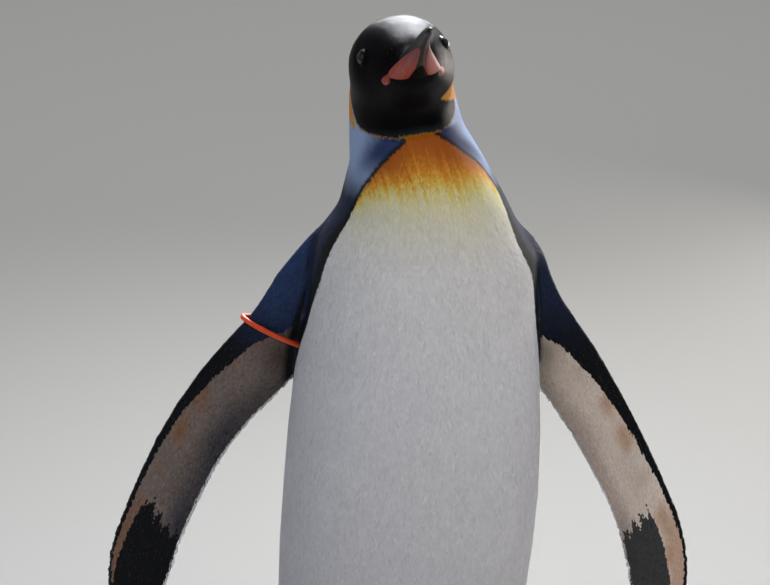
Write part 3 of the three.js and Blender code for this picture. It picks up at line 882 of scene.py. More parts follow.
class Hide:
    """The one skin under the whole coat, in the bird's millimetres."""

    FLESH = ("head", "neck", "trunk", "tail", "flipper_left", "flipper_right", "leg_left",
             "leg_right")
    CORES = ("bill_upper", "bill_lower", "eye_left", "eye_right")
    FEET = ("foot_left", "foot_right")
    PULLS = (((-78, 20, 664), (26, 80, 24), (-2.0, 0, 2.0)),
             ((-127, 25, 597), (40, 60, 36), (3.4, 0, -2.6)),
             ((-57, 20, 684), (20, 80, 16), (-2.6, 0, 2.6)),
             ((146, 20, 653), (34, 80, 30), (5.6, 0, 4.0)))  # place, reach and pull
    BODY_VOXEL, FOOT_VOXEL = 0.0032, 0.0015  # metres
    SOLE = 0.0025  # the foot below this height stays as it is
    ANKLE = (0.035, 0.0415, 0.020)  # heights between which the foot's top is lifted, and how far

    def __init__(self, anatomy: Anatomy, plumage: Plumage) -> None:
        """Builds the surface that the coat grows on.

        Args:
            anatomy: where things are.
            plumage: markings.
        """
        self.anatomy, self.plumage = anatomy, plumage
        mesh = self.remeshed(self.FLESH + self.CORES, self.BODY_VOXEL)
        self.places = to_bird(places_of(mesh))
        self.faces = self.triangles(mesh)
        self.edges = np.array([e.vertices[:] for e in mesh.edges], int)
        self.quads = [tuple(f.vertices) for f in mesh.polygons]
        self.smooth()
        self.normals = self.vertex_normals(self.places, self.faces)
        deep = anatomy.depth(self.places, anatomy.survey(self.places))
        deep = np.where(self.near_cores(self.places), np.maximum(deep, 1.6), deep)
        for _ in range(6):
            deep = 0.5 * deep + 0.5 * self.mean_of_neighbours(deep)
        self.places = self.places - self.normals * deep[:, None]
        self.normals = self.vertex_normals(self.places, self.faces)
        self.face_normals = unit(self.normals[self.faces].sum(1))
        self.tree = BVHTree.FromPolygons(self.places.tolist(), self.faces.tolist())

    @staticmethod
    def remeshed(nodes: Sequence[str], voxel: float) -> Mesh:
        """Closed union of copies of some nodes.

        Args:
            nodes: CAD nodes.
            voxel: cell of the remesh, in metres.

        Returns:
            The new mesh.
        """
        whole = bmesh.new()
        for name in nodes:
            bm = bmesh.new()
            bm.from_mesh(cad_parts[name].data)
            bmesh.ops.remove_doubles(bm, verts=bm.verts, dist=1e-6)
            bm.normal_update()
            for vert in bm.verts:
                vert.co += vert.normal * 0.0003
            add_to(whole, bm)
        mesh = bpy.data.meshes.new("union")
        whole.to_mesh(mesh)
        whole.free()
        holder = link("union", mesh)
        remesh = holder.modifiers.new("remesh", "REMESH")
        remesh.mode, remesh.voxel_size = "VOXEL", voxel
        made = finished(holder)
        bpy.data.objects.remove(holder)
        bpy.data.meshes.remove(mesh)
        return made

    @staticmethod
    def triangles(mesh: Mesh) -> Array:
        """Vertex numbers of the mesh's triangles.

        Args:
            mesh: the mesh.

        Returns:
            One row for each triangle.
        """
        mesh.calc_loop_triangles()
        found = np.empty(len(mesh.loop_triangles) * 3, np.int32)
        mesh.loop_triangles.foreach_get("vertices", found)
        return found.reshape(-1, 3)

    @staticmethod
    def vertex_normals(places: Array, faces: Array) -> Array:
        """Area-weighted unit normals.

        Args:
            places: vertices.
            faces: their triangles.

        Returns:
            One normal for each vertex.
        """
        a, b, c = (places[faces[:, k]] for k in range(3))
        cross = np.cross(b - a, c - a)
        total = np.zeros_like(places)
        for k in range(3):
            np.add.at(total, faces[:, k], cross)
        return unit(total)

    def mean_of_neighbours(self, values: Array) -> Array:
        """Mean over each vertex's neighbours.

        Args:
            values: a number or row for each vertex.

        Returns:
            Their means.
        """
        total = np.zeros_like(values)
        count = np.zeros(len(values))
        for a, b in ((0, 1), (1, 0)):
            np.add.at(total, self.edges[:, a], values[self.edges[:, b]])
            np.add.at(count, self.edges[:, a], 1)
        return total / (count[:, None] if values.ndim > 1 else count)

    def near_cores(self, points: Array) -> Array:
        """Which bird points are on or inside the bill or an eye.

        Args:
            points: bird points.

        Returns:
            True for each that is.
        """
        flu = self.anatomy.head.local(points)
        either = np.stack([flu[:, 0], np.abs(flu[:, 1]), flu[:, 2]], 1)
        away = np.linalg.norm(either - np.array(EYE_PLACE), axis=1)
        return (away < EYE_RADIUS + 0.4) | (flu[:, 0] > 47.0)

    def smooth(self) -> None:
        """Evens the cells out, and blends the creases where parts meet."""
        p = self.places
        for _ in range(3):
            for factor in (0.5, -0.52):
                p = p + factor * (self.mean_of_neighbours(p) - p)
        flu = self.anatomy.head.local(p)
        out = self.anatomy.body.outside(p)
        crease = fall(np.abs(p[:, 2] - 812), 18, 46) * fall(flu[:, 0], 8, 30)
        arm = fall(np.abs(out - 5), 6, 34) * ease(p[:, 2], 530, 580) * fall(p[:, 2], 700, 740)
        arm = arm * ease(np.abs(p[:, 0] - 32), 60, 85)
        low = fall(p[:, 2], 118, 150) * ease(p[:, 2], 72, 92)
        share = np.clip(crease + arm + low, 0, 1)[:, None]
        for _ in range(26):
            p = p + 0.6 * share * (self.mean_of_neighbours(p) - p)
        for spot, reach, pull in self.PULLS:
            away = np.linalg.norm((p - np.array(spot)) / np.array(reach), axis=1)
            p = p + np.array(pull) * np.exp(-away**2)[:, None]
        self.places = p

    def build(self, finish: Material) -> Piece:
        """Joins the feet to the body in one closed skin and shows it.

        Args:
            finish: its material.

        Returns:
            The piece.
        """
        mesh = bpy.data.meshes.new("skin")
        mesh.from_pydata(to_frame(self.places).tolist(), [], self.quads)
        mesh.update()
        holder = link("skin_body", mesh)
        feet = self.remeshed(self.FEET, self.FOOT_VOXEL)
        self.round_feet(feet)
        foot_holder = link("skin_feet", feet)
        union = holder.modifiers.new("feet", "BOOLEAN")
        union.operation, union.object, union.solver = "UNION", foot_holder, "MANIFOLD"
        joined = finished(holder)
        bpy.data.objects.remove(holder)
        bpy.data.objects.remove(foot_holder)
        joined.name = "hide_and_feet"
        places = to_bird(places_of(joined))
        facts = self.anatomy.survey(places)
        normals = self.vertex_normals(places, self.triangles(joined))
        shades = self.plumage.colours(places, normals, facts, np.zeros(len(places)))
        bare = facts["part"] == Part.BARE.value
        # Painted shade: the skin under the coat is 0.72 times as bright as the markings; bare parts
        # keep their colour.
        paint(joined, "coat_colour", choose(bare, shades, shades * 0.72))
        measure(joined, "bare", np.repeat(bare[:, None].astype(float), 3, 1))
        return show(joined, finish, self.FLESH + self.FEET)

    def round_feet(self, feet: Mesh) -> None:
        """Rounds the toes a little, and lifts the ankles' tops into the legs.

        Args:
            feet: remeshed feet, changed here.
        """
        bm = bmesh.new()
        bm.from_mesh(feet)
        upper = [v for v in bm.verts if v.co.z > self.SOLE]
        for _ in range(4):
            bmesh.ops.smooth_vert(bm, verts=upper, factor=0.5, use_axis_x=True,
                                  use_axis_y=True, use_axis_z=True)
        start, end, lift = self.ANKLE
        for vert in bm.verts:
            rise = lift * float(ease(vert.co.z, start, end))
            vert.co.z = max(vert.co.z, 0.0) + rise
        bm.to_mesh(feet)
        bm.free()


# ---------------------------------------------------------------- feathers


@dataclass(frozen=True)
class Vane:
    """Outline of a closed feather, from its root to its tip.

    Args:
        stations: place along, share of the width and share of the ridge, for each station.
        lift: how early the feather leaves the skin; larger is earlier.
    """

    stations: tuple[tuple[float, float, float], ...]
    lift: float = 2.2

    @property
    def count(self) -> int:
        """Number of vertices."""
        return 2 + 3 * len(self.stations)

    def triangles(self) -> Array:
        """Vertex numbers of one feather's triangles.

        Returns:
            One row for each triangle.
        """
        last = len(self.stations) - 1
        tip = self.count - 1
        found = [(0, 2, 3), (0, 3, 1), (0, 1, 2)]
        for k in range(last):
            a, b = 1 + 3 * k, 4 + 3 * k
            found += [(a + 1, b + 1, b + 2), (a + 1, b + 2, a + 2), (a + 2, b + 2, b),
                      (a + 2, b, a), (a, b, b + 1), (a, b + 1, a + 1)]
        a = 1 + 3 * last
        found += [(a + 1, tip, a + 2), (a + 2, tip, a), (a, tip, a + 1)]
        return np.array(found, int)

    def local(self) -> Array:
        """Where each vertex sits in the feather.

        Returns:
            Rows of place along, side (-1 to 1), width share and ridge share.
        """
        rows = [(0.0, 0.0, 0.0, 0.0)]
        for along, width, ridge in self.stations:
            rows += [(along, 1.0, width, 0.0), (along, -1.0, width, 0.0), (along, 0.0, 0.0, ridge)]
        return np.array([*rows, (1.0, 0.0, 0.0, 0.0)])


BROAD = Vane(((0.42, 1.0, 1.0), (0.84, 0.74, 0.8)), 1.5)
NARROW = Vane(((0.38, 1.0, 1.0), (0.74, 0.68, 0.8)), 1.5)
STIFF = Vane(((0.10, 0.5, 1.0), (0.35, 0.9, 1.0), (0.68, 1.0, 1.0), (0.90, 0.86, 0.8)), 3.0)


def feather_piece(name: str, finish: Material, vane: Vane, places: Array,
                  normals: Array, colours: Array, flat: Array) -> Piece:
    """Makes and shows one piece of many like feathers.

    Args:
        name: name of the piece.
        finish: its material.
        vane: the feathers' outline.
        places: bird points, by feather and vertex.
        normals: the way out of the coat at each.
        colours: linear colours at each.
        flat: each root's place on the unwrap of the skin, 0 to 1.

    Returns:
        The piece.
    """
    count, each = places.shape[:2]
    triangles = (vane.triangles()[None] + each * np.arange(count)[:, None, None]).reshape(-1, 3)
    mesh = bpy.data.meshes.new(name)
    mesh.vertices.add(count * each)
    mesh.vertices.foreach_set("co", to_frame(places).astype(np.float32).ravel())
    mesh.loops.add(triangles.size)
    mesh.loops.foreach_set("vertex_index", triangles.astype(np.int32).ravel())
    mesh.polygons.add(len(triangles))
    mesh.polygons.foreach_set("loop_start", np.arange(0, triangles.size, 3, dtype=np.int32))
    mesh.update(calc_edges=True)
    paint(mesh, "coat_colour", colours.reshape(-1, 3))
    template = vane.local()
    own = np.stack([0.5 + 0.5 * template[:, 1] * template[:, 2], template[:, 0]], 1)
    patch = flat[:, None, :] + (own - 0.5)[None] * BAKE_PATCH
    for label, rows in (("OFBake", patch.reshape(-1, 2)), ("Vane", np.tile(own, (count, 1)))):
        layer = mesh.uv_layers.new(name=label)
        layer.data.foreach_set("uv", rows[triangles.ravel()].astype(np.float32).ravel())
    piece = show(mesh, finish)
    ridge = np.tile(template[:, 3] > 0, count)
    ends = np.empty(len(mesh.edges) * 2, np.int32)
    mesh.edges.foreach_get("vertices", ends)
    mesh.edges.foreach_set("use_edge_sharp", ~ridge[ends.reshape(-1, 2)].any(1))
    facing = np.where(ridge[triangles].any(1), 1.0, -1.0)  # the underside faces the skin
    rows = normals.reshape(-1, 3)[triangles] * facing[:, None, None]
    mesh.normals_split_custom_set(rows.reshape(-1, 3).tolist())
    return piece


@dataclass
class Feathers:
    """A lot of feathers: where they grow and their sizes, in millimetres."""

    root: Array
    normal: Array
    way: Array
    length: Array
    width: Array
    depth: Array
    colour: Array
    pale: Optional[Array] = None
    drift: Optional[Array] = None

    def pick(self, chosen: Array) -> "Feathers":
        """Only the chosen ones."""
        return Feathers(*(getattr(self, k)[chosen] for k in self.__dataclass_fields__))


class Coat:
    """Feathers spread evenly over the skin, each a closed vane that follows it."""

    PALE_TIP, PALE_SHARE = (0.17, 0.19, 0.235), 0.75  # linear colour, and how much of it
    SPREAD, LENGTHS, DEPTHS, TONES = 0.05, 0.06, 0.02, 0.5  # how much single feathers vary
    BRIGHT, DARK = 0.25, 0.03  # between these, a feather of the back has a pale tip
    STREAK_WIDTH = 2.6  # millimetres

    def __init__(self, hide: Hide, anatomy: Anatomy, plumage: Plumage) -> None:
        """Keeps the skin, the shapes and the markings, and starts the random numbers.

        Args:
            hide: the skin that they grow on.
            anatomy: where things are.
            plumage: markings.
        """
        self.hide, self.anatomy, self.plumage = hide, anatomy, plumage
        self.random = np.random.default_rng(SEED)

    def sizes(self, p: Array, facts: dict[str, Array]) -> tuple[Array, Array, Array]:
        """Length, width and spacing of the feathers at some places.

        Args:
            p: bird points.
            facts: what survey() found.

        Returns:
            Three arrays, in millimetres.
        """
        z, part = p[:, 2], facts["part"]
        back = ease(np.abs(facts["angle"]), 95, 120)[:, None]
        size = np.interp(z, (84, 130, 690, 760, 800, 840), (0.85, 1, 1, 0.62, 0.50, 0.44))
        found = size[:, None] * (np.array((13.5, 4.7, 2.02)) + np.array((2.5, 1.0, 0.40)) * back)
        found[:, 2] += 0.06
        rules = [(Part.HEAD, ease(facts["flu"][:, 0], -20, 40), (5.6, 2.3, 1.16),
                  (-2.4, -0.8, -0.18))]
        rules += [(name, ease(facts[side.word][:, 0], 0.06, 0.34), (12.0, 4.6, 1.75),
                   (-7.0, -2.4, -0.21)) for side, name in FLIPPER_PARTS.items()]
        rules += [(Part.TAIL, np.zeros(len(p)), (17.0, 5.2, 2.8), (0.0, 0.0, 0.0)),
                  (Part.LEG, ease(z, 46, 80), (6.0, 2.2, 1.4), (5.0, 1.2, 0.4))]
        for name, share, first, change in rules:
            found = choose(part == name.value, first + np.array(change) * share[:, None], found)
        return found[:, 0], found[:, 1], found[:, 2]

    def scatter(self) -> tuple[Array, Array]:
        """Even, irregular places over the skin, closer together where feathers are small.

        Returns:
            Places and unit normals.
        """
        p, faces = self.hide.places, self.hide.faces
        a, b, c = (p[faces[:, k]] for k in range(3))
        middle = (a + b + c) / 3.0
        facts = self.anatomy.survey(middle)
        _, _, gap = self.sizes(middle, facts)
        bare = (facts["part"] == Part.BARE.value) | self.hide.near_cores(middle)
        area = np.linalg.norm(np.cross(b - a, c - a), axis=1) / 2.0
        weight = np.where(bare, 0.0, area / gap**2)
        tries = int(weight.sum() * 0.82 * (5.0))
        chosen = self.random.choice(len(faces), tries, p=weight / weight.sum())
        s, t = np.sqrt(self.random.random(tries)), self.random.random(tries)
        shares = np.stack([1 - s, s * (1 - t), s * t], 1)
        corners = faces[chosen]
        spots = (shares[:, :, None] * p[corners]).sum(1)
        normals = unit((shares[:, :, None] * self.hide.normals[corners]).sum(1))
        gaps = gap[chosen]
        tree = KDTree(tries)
        for i, spot in enumerate(spots.tolist()):
            tree.insert(spot, i)
        tree.balance()
        alive = np.ones(tries, bool)
        kept = []
        for i, spot in enumerate(spots.tolist()):
            if alive[i]:
                kept.append(i)
                alive[[hit[1] for hit in tree.find_range(spot, gaps[i])]] = False
        return spots[kept], normals[kept]

    def grow(self) -> tuple[Feathers, dict[str, Array]]:
        """Sizes and colours of all the feathers.

        Returns:
            The feathers and what survey() found at their roots.
        """
        root, normal = self.scatter()
        facts = self.anatomy.survey(root)
        length, width, _ = self.sizes(root, facts)
        depth = self.anatomy.depth(root, facts)
        way = self.anatomy.lie(root, normal, facts)
        count = len(root)
        spread = self.random.normal(0, self.SPREAD, (count, 1))
        way = unit(way + np.cross(normal, way) * spread)
        length = length * (1 + self.random.normal(0, self.LENGTHS, count))
        depth = depth * (1 + self.random.normal(0, self.DEPTHS, count))
        shown = root + way * length[:, None] * 0.8
        drift = np.clip(self.random.normal(0, self.TONES, count), -1.2, 1.2)
        across = np.radians(facts["angle"]) * self.anatomy.body.radius(root)
        column = np.round(across / self.STREAK_WIDTH + 0.8 * np.sin(root[:, 2] / 31.0))
        # the same number from -1 to 1 for a whole column, so that the breast shows fine streaks
        streak = 2.0 * ((np.sin(column * 12.9898) * 43758.5453) % 1.0) - 1.0
        drift = drift + 0.9 * streak * ease(root[:, 2], 600, 690) * (np.abs(facts["angle"]) < 80)
        seen = self.anatomy.survey(shown)
        for key in ("part", "tail"):
            seen[key] = facts[key]
        colour = self.plumage.colours(shown, normal, seen, drift)
        bright = colour.mean(1)
        vary = np.where(bright > self.BRIGHT, 0.04, 0.12)
        colour = colour * (1 + vary * self.random.normal(0, 1, count))[:, None]
        grey = (bright > self.DARK) & (bright < self.BRIGHT)
        back = grey & (facts["part"] == Part.BODY.value)
        pale = np.where(back & (np.abs(facts["angle"]) > 60), 0.55, 0.0)
        log.info("%d feathers", count)
        return Feathers(root, normal, way, length, width, depth, colour, pale, drift), facts

    def dress(self, name: str, lot: Feathers, vane: Vane, slot: str,
              finish: Material, flat: Array, ridge: float = 0.16,
              roof: float = 0.2, sharp: bool = False) -> Piece:
        """Makes one piece of the coat.

        Args:
            name: name of the piece.
            lot: its feathers.
            vane: their outline.
            slot: not used.
            finish: its material.
            flat: each root's place on the unwrap of the skin, 0 to 1.
            ridge: height of the shaft's ridge, in millimetres.
            roof: how far the shading leans to a vane's two sides.
            sharp: markings change within a feather, not only between feathers.

        Returns:
            The piece.
        """
        half = lot.length[:, None] / 2.0
        middle, on_middle = snap(self.hide.tree, lot.root + lot.way * half)
        n1 = self.hide.face_normals[on_middle]
        end, on_end = snap(self.hide.tree, middle + level(lot.way, n1) * half)
        n2 = self.hide.face_normals[on_end]
        template = vane.local()
        count, each = len(lot.root), len(template)
        places = np.empty((count, each, 3))
        normals = np.empty((count, each, 3))
        for k, (s, side, width, high) in enumerate(template):
            w0, w1, w2 = (1 - s) * (1 - 2 * s), 4 * s * (1 - s), s * (2 * s - 1)
            base = w0 * lot.root + w1 * middle + w2 * end
            out = unit((1 - s) * lot.normal + (0.5 * n1 if s > 0.2 else 0) + s * n2)
            across = unit(np.cross(out, lot.way))
            rise = lot.depth * (0.12 + 0.88 * (1 - (1 - s) ** vane.lift))
            reach = side * width * lot.width / 2.0
            places[:, k] = base + out * (rise + high * ridge)[:, None] + across * reach[:, None]
            nose = 0.5 * roof if s == 1 else 0.0
            normals[:, k] = unit(out + roof * side * across + nose * lot.way)
        tone = np.interp(template[:, 0], (0, 0.4, 0.8, 1.0), (0.85, 0.96, 1.0, 1.0))
        colour = lot.colour[:, None, :]
        if sharp:
            spots = places.reshape(-1, 3)
            seen, drift = self.anatomy.survey(spots), np.repeat(lot.drift, each)
            colour = self.plumage.hood(spots, seen, drift, self.plumage.trunk(spots, seen, drift))
            colour = colour.reshape(count, each, 3) * self.random.normal(1, 0.035, (count, 1, 1))
        colour = colour * tone[None, :, None]
        paler = colour + (np.array(self.PALE_TIP) - colour) * self.PALE_SHARE
        share = lot.pale[:, None] * ease(template[:, 0], 0.62, 1.0)[None, :]
        return feather_piece(name, finish, vane, places, normals,
                             mix(colour, paler, share), flat)


# ---------------------------------------------------------------- finishes


class Nodes:
    """Shorthand for one node tree."""

    def __init__(self, tree: bpy.types.NodeTree) -> None:
        """Keeps the tree."""
        self.tree = tree

    def feed(self, node: Node, values: dict) -> Node:
        """Links or sets a node's inputs, by name or number, and returns the node."""
        for key, value in values.items():
            if isinstance(value, Socket):
                self.tree.links.new(value, node.inputs[key])
            else:
                node.inputs[key].default_value = value
        return node

    def add(self, kind: str, *values: object, **options: object) -> Node:
        """Adds a node.

        Args:
            kind: node type.
            values: its first inputs, in order.
            options: its properties by name.

        Returns:
            The node.
        """
        node = self.tree.nodes.new("ShaderNode" + kind)
        for key, value in options.items():
            setattr(node, key, value)
        return self.feed(node, dict(enumerate(values)))

    def math(self, operation: str, *values: object, clamp: bool = False) -> Socket:
        """Result of a Math node."""
        return self.add("Math", *values, operation=operation, use_clamp=clamp).outputs[0]

    def blend(self, share: object, first: object, second: object,
              kind: str = "MIX") -> Socket:
        """Colour between two colours.

        Args:
            share: 0 for the first, 1 for the second.
            first: colour or socket.
            second: colour or socket.
            kind: blend type.

        Returns:
            The colour's socket.
        """
        node = self.add("Mix", data_type="RGBA", blend_type=kind)
        self.feed(node, {0: share, 6: first, 7: second})
        return node.outputs[2]

    def scaled(self, colour: Socket,
               factor: Socket) -> Socket:
        """Colour times a number."""
        grey = self.add("CombineXYZ", factor, factor, factor).outputs[0]
        return self.blend(1.0, colour, grey, "MULTIPLY")

    def relief(self, shader: Node, height: Socket, distance: float,
               strength: float = 1.0) -> None:
        """Feeds a height to the shader as bump.

        Args:
            shader: the Principled shader.
            height: the height, 0 to 1.
            distance: metres from 0 to 1.
            strength: share of the bump.
        """
        bump = self.add("Bump")
        self.feed(bump, {"Strength": strength, "Distance": distance, "Height": height})
        self.feed(shader, {"Normal": bump.outputs[0]})

    def own_place(self) -> Socket:
        """The piece's own coordinates, kept on its mesh."""
        return self.add("Attribute", attribute_name="own_place").outputs["Vector"]

    def object_place(self) -> Socket:
        """Coordinates of the object."""
        return self.add("TexCoord").outputs["Object"]


def rgba(rgb: Rgb) -> tuple[float, ...]:
    """Screen colour as a linear one with alpha."""
    return (*linear(rgb), 1.0)


class Effect:
    """Shader group that several finishes use."""

    def __init__(self, name: str, inputs: dict[str, object], outputs: dict[str, str]) -> None:
        """Starts the group with named sockets.

        Args:
            name: its name.
            inputs: a default number, or the kind of socket, for each input.
            outputs: the kind of each output.
        """
        self.nodes = Nodes(bpy.data.node_groups.new(name, "ShaderNodeTree"))
        sockets = self.nodes.tree.interface
        for label, value in inputs.items():
            kind = "Float" if isinstance(value, float) else value
            socket = sockets.new_socket(label, in_out="INPUT", socket_type=f"NodeSocket{kind}")
            if isinstance(value, float):
                socket.default_value = value
        for label, kind in outputs.items():
            sockets.new_socket(label, in_out="OUTPUT", socket_type=f"NodeSocket{kind}")
        self.given = self.nodes.tree.nodes.new("NodeGroupInput").outputs
        self.end = self.nodes.tree.nodes.new("NodeGroupOutput")

    def use(self, nodes: Nodes, **values: object) -> dict[str, Socket]:
        """Places the group in a material.

        Args:
            nodes: the material's nodes.
            values: inputs by name.

        Returns:
            Its outputs by name.
        """
        node = nodes.add("Group", node_tree=self.nodes.tree)
        return nodes.feed(node, values).outputs


class SharedEffects:
    """Every shared shader group."""

    def __init__(self) -> None:
        """Builds each group once."""
        self.barbs = self.make_barbs()
        self.drift = self.make_drift()
        self.scutes = self.make_scutes()
        self.grain = self.make_grain()

    @staticmethod
    def make_barbs() -> Effect:
        """Slanting barbs on both sides of a shaft, on a feather's own map.

        Returns:
            The group.
        """
        effect = Effect("feather_barbs", {"Vector": "Vector", "Barbs": 40.0}, {"Height": "Float"})
        nodes, given = effect.nodes, effect.given
        parts = nodes.add("SeparateXYZ", given["Vector"]).outputs
        side = nodes.math("ABSOLUTE", nodes.math("SUBTRACT", parts[0], 0.5))
        slant = nodes.math("SUBTRACT", parts[1], nodes.math("MULTIPLY", side, 0.7))
        turns = nodes.math("MULTIPLY", given["Barbs"], 2 * math.pi)
        wave = nodes.math("SINE", nodes.math("MULTIPLY", slant, turns))
        nodes.feed(effect.end, {"Height": nodes.math("MULTIPLY_ADD", wave, 0.5, 0.5)})
        return effect

    @staticmethod
    def make_drift() -> Effect:
        """Slow change of tone over a surface.

        Returns:
            The group.
        """
        effect = Effect("tone_drift", {"Vector": "Vector", "Colour": "Color", "Scale": 12.0,
                                       "Strength": 0.2}, {"Colour": "Color", "Mask": "Float"})
        nodes, given = effect.nodes, effect.given
        noise = nodes.add("TexNoise", given["Vector"])
        mask = nodes.feed(noise, {"Scale": given["Scale"], "Detail": 5.0}).outputs[0]
        lift = nodes.math("MULTIPLY_ADD", nodes.math("SUBTRACT", mask, 0.5), given["Strength"], 1.0)
        nodes.feed(effect.end, {"Colour": nodes.scaled(given["Colour"], lift), "Mask": mask})
        return effect

    @staticmethod
    def make_scutes() -> Effect:
        """Small horny scales, with their height and the dark creases between them.

        Returns:
            The group.
        """
        effect = Effect("scutes", {"Vector": "Vector", "Scale": 420.0},
                        {"Height": "Float", "Crease": "Float"})
        nodes, given = effect.nodes, effect.given
        cells = nodes.add("TexVoronoi", given["Vector"], feature="DISTANCE_TO_EDGE")
        nodes.feed(cells, {"Scale": given["Scale"]})
        away = nodes.math("MULTIPLY", cells.outputs[0], 4.5, clamp=True)
        nodes.feed(effect.end, {"Height": nodes.math("POWER", away, 0.6),
                                "Crease": nodes.math("SUBTRACT", 1.0, away)})
        return effect

    @staticmethod
    def make_grain() -> Effect:
        """Growth streaks and fine scratches of horn, along the first axis.

        Returns:
            The group.
        """
        effect = Effect("horn_grain", {"Vector": "Vector", "Stretch": 0.12},
                        {"Streak": "Float", "Height": "Float"})
        nodes, given = effect.nodes, effect.given
        parts = nodes.add("SeparateXYZ", given["Vector"]).outputs
        along = nodes.math("MULTIPLY", parts[0], given["Stretch"])
        place = nodes.add("CombineXYZ", along, parts[1], parts[2]).outputs[0]
        for label, scale, detail in (("Streak", 0.55, 6.0), ("Height", 2.6, 3.0)):
            noise = nodes.feed(nodes.add("TexNoise", place), {"Scale": scale, "Detail": detail})
            nodes.feed(effect.end, {label: noise.outputs[0]})
        return effect


def new_material(name: str) -> tuple[Material, Nodes, Node]:
    """Starts a material.

    Args:
        name: its name.

    Returns:
        The material, its nodes and the shader.
    """
    material = bpy.data.materials.new(name)
    material.use_nodes = True
    return material, Nodes(material.node_tree), material.node_tree.nodes["Principled BSDF"]


@dataclass(frozen=True)
class FeatherFinish:
    """Look of one kind of feather."""

    name: str
    roughness: float = 0.55
    sheen: float = 0.12
    gloss: float = 0.4
    barbs: float = 26.0
    drift: float = 0.10

    def build(self, effects: SharedEffects) -> Material:
        """Makes the material.

        Args:
            effects: shared groups.

        Returns:
            The material.
        """
        material, nodes, shader = new_material(self.name)
        colour = nodes.add("VertexColor", layer_name="coat_colour").outputs[0]
        drift = effects.drift.use(nodes, Vector=nodes.object_place(), Colour=colour, Scale=22.0,
                                  Strength=self.drift)
        own = nodes.add("UVMap", uv_map="Vane").outputs[0]
        height = effects.barbs.use(nodes, Vector=own, Barbs=self.barbs)["Height"]
        tone = nodes.math("MULTIPLY_ADD", height, 0.10, 0.92)
        nodes.feed(shader, {
            "Base Color": nodes.scaled(drift["Colour"], tone),
            "Roughness": nodes.math("MULTIPLY_ADD", height, 0.10, self.roughness - 0.05),
            "Sheen Weight": self.sheen, "Sheen Roughness": 0.4,
            "Specular IOR Level": self.gloss})
        nodes.relief(shader, height, 0.00006, 0.5)
        return material


@dataclass(frozen=True)
class HideFinish:
    """Skin under the feathers, and the bare scaly feet."""

    name: str = "hide"
    roughness: float = 0.62
    crease: Rgb = (12, 11, 13)

    def build(self, effects: SharedEffects) -> Material:
        """Makes the material.

        Args:
            effects: shared groups.

        Returns:
            The material.
        """
        material, nodes, shader = new_material(self.name)
        colour = nodes.add("VertexColor", layer_name="coat_colour").outputs[0]
        place = nodes.object_place()
        bare = nodes.add("Attribute", attribute_name="bare").outputs["Fac"]
        scutes = effects.scutes.use(nodes, Vector=place, Scale=330.0)
        drift = effects.drift.use(nodes, Vector=place, Colour=colour, Scale=40.0, Strength=0.5)
        crease = nodes.math("MULTIPLY", nodes.math("MULTIPLY", scutes["Crease"], bare), 0.75)
        nodes.feed(shader, {
            "Base Color": nodes.blend(crease, drift["Colour"], rgba(self.crease)),
            "Roughness": nodes.math("MULTIPLY_ADD", drift["Mask"], 0.3, self.roughness - 0.2)})
        nodes.relief(shader, nodes.math("MULTIPLY", scutes["Height"], bare), 0.0007)
        return material


@dataclass(frozen=True)
class HornFinish:
    """Horn of the bill, its plates and the claws."""

    name: str
    colour: Rgb
    streak: Rgb
    roughness: float = 0.3
    coat: float = 0.3
    relief: float = 0.00025
    fade: Optional[Rgb] = None
    fade_from: float = 0.0
    fade_to: float = 1.0
    gloss: float = 0.5

    def build(self, effects: SharedEffects) -> Material:
        """Makes the material.

        Args:
            effects: shared groups.

        Returns:
            The material.
        """
        material, nodes, shader = new_material(self.name)
        place = nodes.own_place()
        grain = effects.grain.use(nodes, Vector=place, Stretch=0.12)
        share = nodes.math("MULTIPLY", nodes.math("SUBTRACT", grain["Streak"], 0.42), 4.0,
                           clamp=True)
        base = nodes.blend(share, rgba(self.colour), rgba(self.streak))
        if self.fade is not None:
            along = nodes.add("SeparateXYZ", place).outputs[0]
            ramp = nodes.add("MapRange", along, self.fade_from, self.fade_to,
                             interpolation_type="SMOOTHSTEP").outputs[0]
            base = nodes.blend(ramp, base, rgba(self.fade))
        nodes.feed(shader, {
            "Base Color": base,
            "Roughness": nodes.math("MULTIPLY_ADD", grain["Height"], 0.25, self.roughness - 0.12),
            "Specular IOR Level": self.gloss, "Coat Weight": self.coat, "Coat Roughness": 0.2})
        nodes.relief(shader, grain["Height"], self.relief, 0.6)
        return material


@dataclass(frozen=True)
class EyeFinish:
    """Brown iris round a black pupil, under a wet cornea."""

    name: str = "eye_wet"
    iris: Rgb = (70, 38, 18)
    rim: Rgb = (22, 12, 8)

    def build(self) -> Material:
        """Makes the material; own_place holds the eyeball's own axes, at radius one.

        Returns:
            The material.
        """
        material, nodes, shader = new_material(self.name)
        parts = nodes.add("SeparateXYZ", nodes.own_place()).outputs
        squares = [nodes.math("MULTIPLY", parts[k], parts[k]) for k in (0, 1)]
        away = nodes.math("SQRT", nodes.math("ADD", *squares))
        turn = nodes.math("ARCTAN2", parts[1], parts[0])
        spoke = nodes.add("CombineXYZ", nodes.math("MULTIPLY", turn, 9.0),
                          nodes.math("MULTIPLY", away, 3.0)).outputs[0]
        noise = nodes.feed(nodes.add("TexNoise", spoke), {"Scale": 1.6})
        pupil, rim = (0.001, 0.001, 0.001, 1.0), rgba(self.rim)
        ring = nodes.add("ValToRGB", away)
        stops = ring.color_ramp.elements
        for k, (place, colour) in enumerate((
                (0.0, pupil), (0.27, pupil), (0.30, rim), (0.42, rgba(self.iris)), (0.58, rim),
                (0.66, (0.004, 0.003, 0.003, 1.0)))):
            stop = stops[k] if k < 2 else stops.new(place)
            stop.position, stop.color = place, colour
        lift = nodes.math("MULTIPLY_ADD", noise.outputs[0], 1.1, 0.45)
        nodes.feed(shader, {
            "Base Color": nodes.scaled(ring.outputs[0], lift), "Roughness": 0.12,
            "Specular IOR Level": 0.3, "Coat Weight": 0.25, "Coat Roughness": 0.05})
        return material


